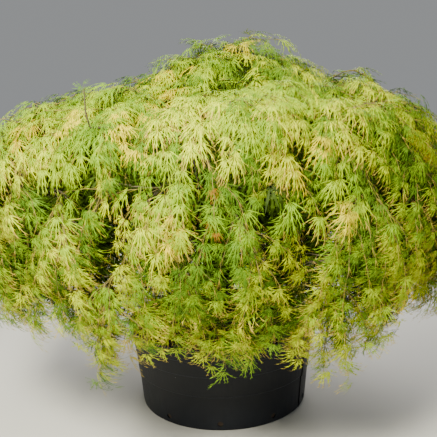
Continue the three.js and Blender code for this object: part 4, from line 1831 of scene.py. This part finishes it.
def sight_lines():
    """Lines of sight from every side: bundles of parallel lines, and fans from a walker's eye."""
    lines = []
    for turn in range(SIGHT_BEARINGS):
        bearing = 2 * math.pi * turn / SIGHT_BEARINGS
        level = level_way(bearing)
        side = UP.cross(level)
        for lift_deg in SIGHT_LIFTS_DEG:
            lift = math.radians(lift_deg)
            back = level * math.cos(lift) + UP * math.sin(lift)
            rise = back.cross(side)
            for i, j in grid(SIGHT_SPACING):
                lines.append(sight_line(HEART + back * SIGHT_DISTANCE + side * i + rise * j, back))
        eye = level * WALK_RADIUS + UP * WALK_EYE
        for i, j in grid(WALK_SPACING):
            target = HEART + side * i + UP * j
            lines.append(sight_line(eye, (eye - target).normalized()))
    return [line for line in lines if line]


def still_free(lines, pieces):
    """The lines of sight that meet none of the pieces."""
    cover = screen(pieces)
    return [line for line in lines if cover.ray_cast(line["eye"], line["way"])[0] is None]


def close_lines(lines):
    """Grows a short leafy shoot into the way of the lines, and returns broad and narrow leaves."""
    ends = []
    broad = {}
    narrow = {}
    for line in lines:
        end = line["inside"]
        if any((end - other).length < CLOSE_SPACING for other in ends):
            continue
        ends.append(end)
        points = grow_shoot(end, line["out"], CLOSE_REACH, CLOSE_DEPTH, chance)
        shoots.append({"points": points, "drape": nearest_drape(end), "mass": line["mass"], "outer": False})
        first = max(0.0, line_length(points) - CLOSE_LEAFY)
        made = leaves_on(points, SHADE_PAIR_SPACING, first, CLOSE_SIZES, SHADE_KIND_LIST, chance)
        # All closing leaves take the near-black green, painted shade.
        leaves = narrow if end.z < NARROW_BELOW else broad
        leaves.setdefault((region_of(line["mass"]), "deep_green"), []).extend(made)
    print("free lines:", len(lines), "new shoots:", len(ends))
    return broad, narrow


sights = sight_lines()
print("lines of sight:", len(sights))
newest = leaf_pieces + [limbs, branches, tub]
for close_round in range(CLOSE_ROUNDS):
    sights = still_free(sights, newest)
    broad, narrow = close_lines(sights)
    newest = make_leaves(broad, f"shade_{close_round + 1}", deep_shapes)
    newest += make_leaves(narrow, f"low_shade_{close_round + 1}", plain_shapes)
print("lines that stay free:", len(still_free(sights, newest)))
for shapes in (toothed_shapes, plain_shapes, deep_shapes):
    for leaf in list(shapes.objects):
        bpy.data.objects.remove(leaf)
    bpy.data.collections.remove(shapes)

# %% The shoots as wood
SHOOT_FOOT = 0.0024
SHOOT_TIP = 0.0009
UPRIGHT_FOOT = 0.0045
UPRIGHT_TIP = 0.0025


def shoot_lines(chosen, foot_radius, tip_radius):
    """Joins shoots into one mesh of edges that thin towards their tips."""
    points = []
    edges = []
    radii = []
    for line in chosen:
        first = len(points)
        last = len(line) - 1
        points += line
        radii += [foot_radius + (tip_radius - foot_radius) * i / last for i in range(len(line))]
        edges += [(first + i, first + i + 1) for i in range(last)]
    return polyline_mesh("shoot_lines", points, edges, radii)


def shoot_wood(name, lines, foot_radius, tip_radius, finish):
    """The wood of a set of shoots as one piece."""
    piece = new_piece("shoot_lines", shoot_lines(lines, foot_radius, tip_radius))
    run_tree(piece, edge_wood, {"Sides": 3, "Finish": finish})
    piece = settle(piece, name)
    piece.data.shade_smooth()
    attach(piece, "root")


outer_lines = [shoot["points"] for shoot in shoots if shoot["outer"]]
inner_lines = [shoot["points"] for shoot in shoots if not shoot["outer"]]
shoot_wood("outer_shoots", outer_lines, SHOOT_FOOT, SHOOT_TIP, shoot_bark)
shoot_wood("inner_shoots", inner_lines, SHOOT_FOOT, SHOOT_TIP, young_bark)
shoot_wood("upright_shoot", [upright], UPRIGHT_FOOT, UPRIGHT_TIP, young_bark)

# %% [markdown]
# ## The two boxes
# The frame's own box and the finished plant's box are both printed. The finished plant may stand
# only a little outside the frame's own box.

# %% Sizes and the end
visual_box = [list(corner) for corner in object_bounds()]
for label, box in (("cad", cad_box), ("visual", visual_box)):
    print(label, [[round(v, 3) for v in corner] for corner in box])
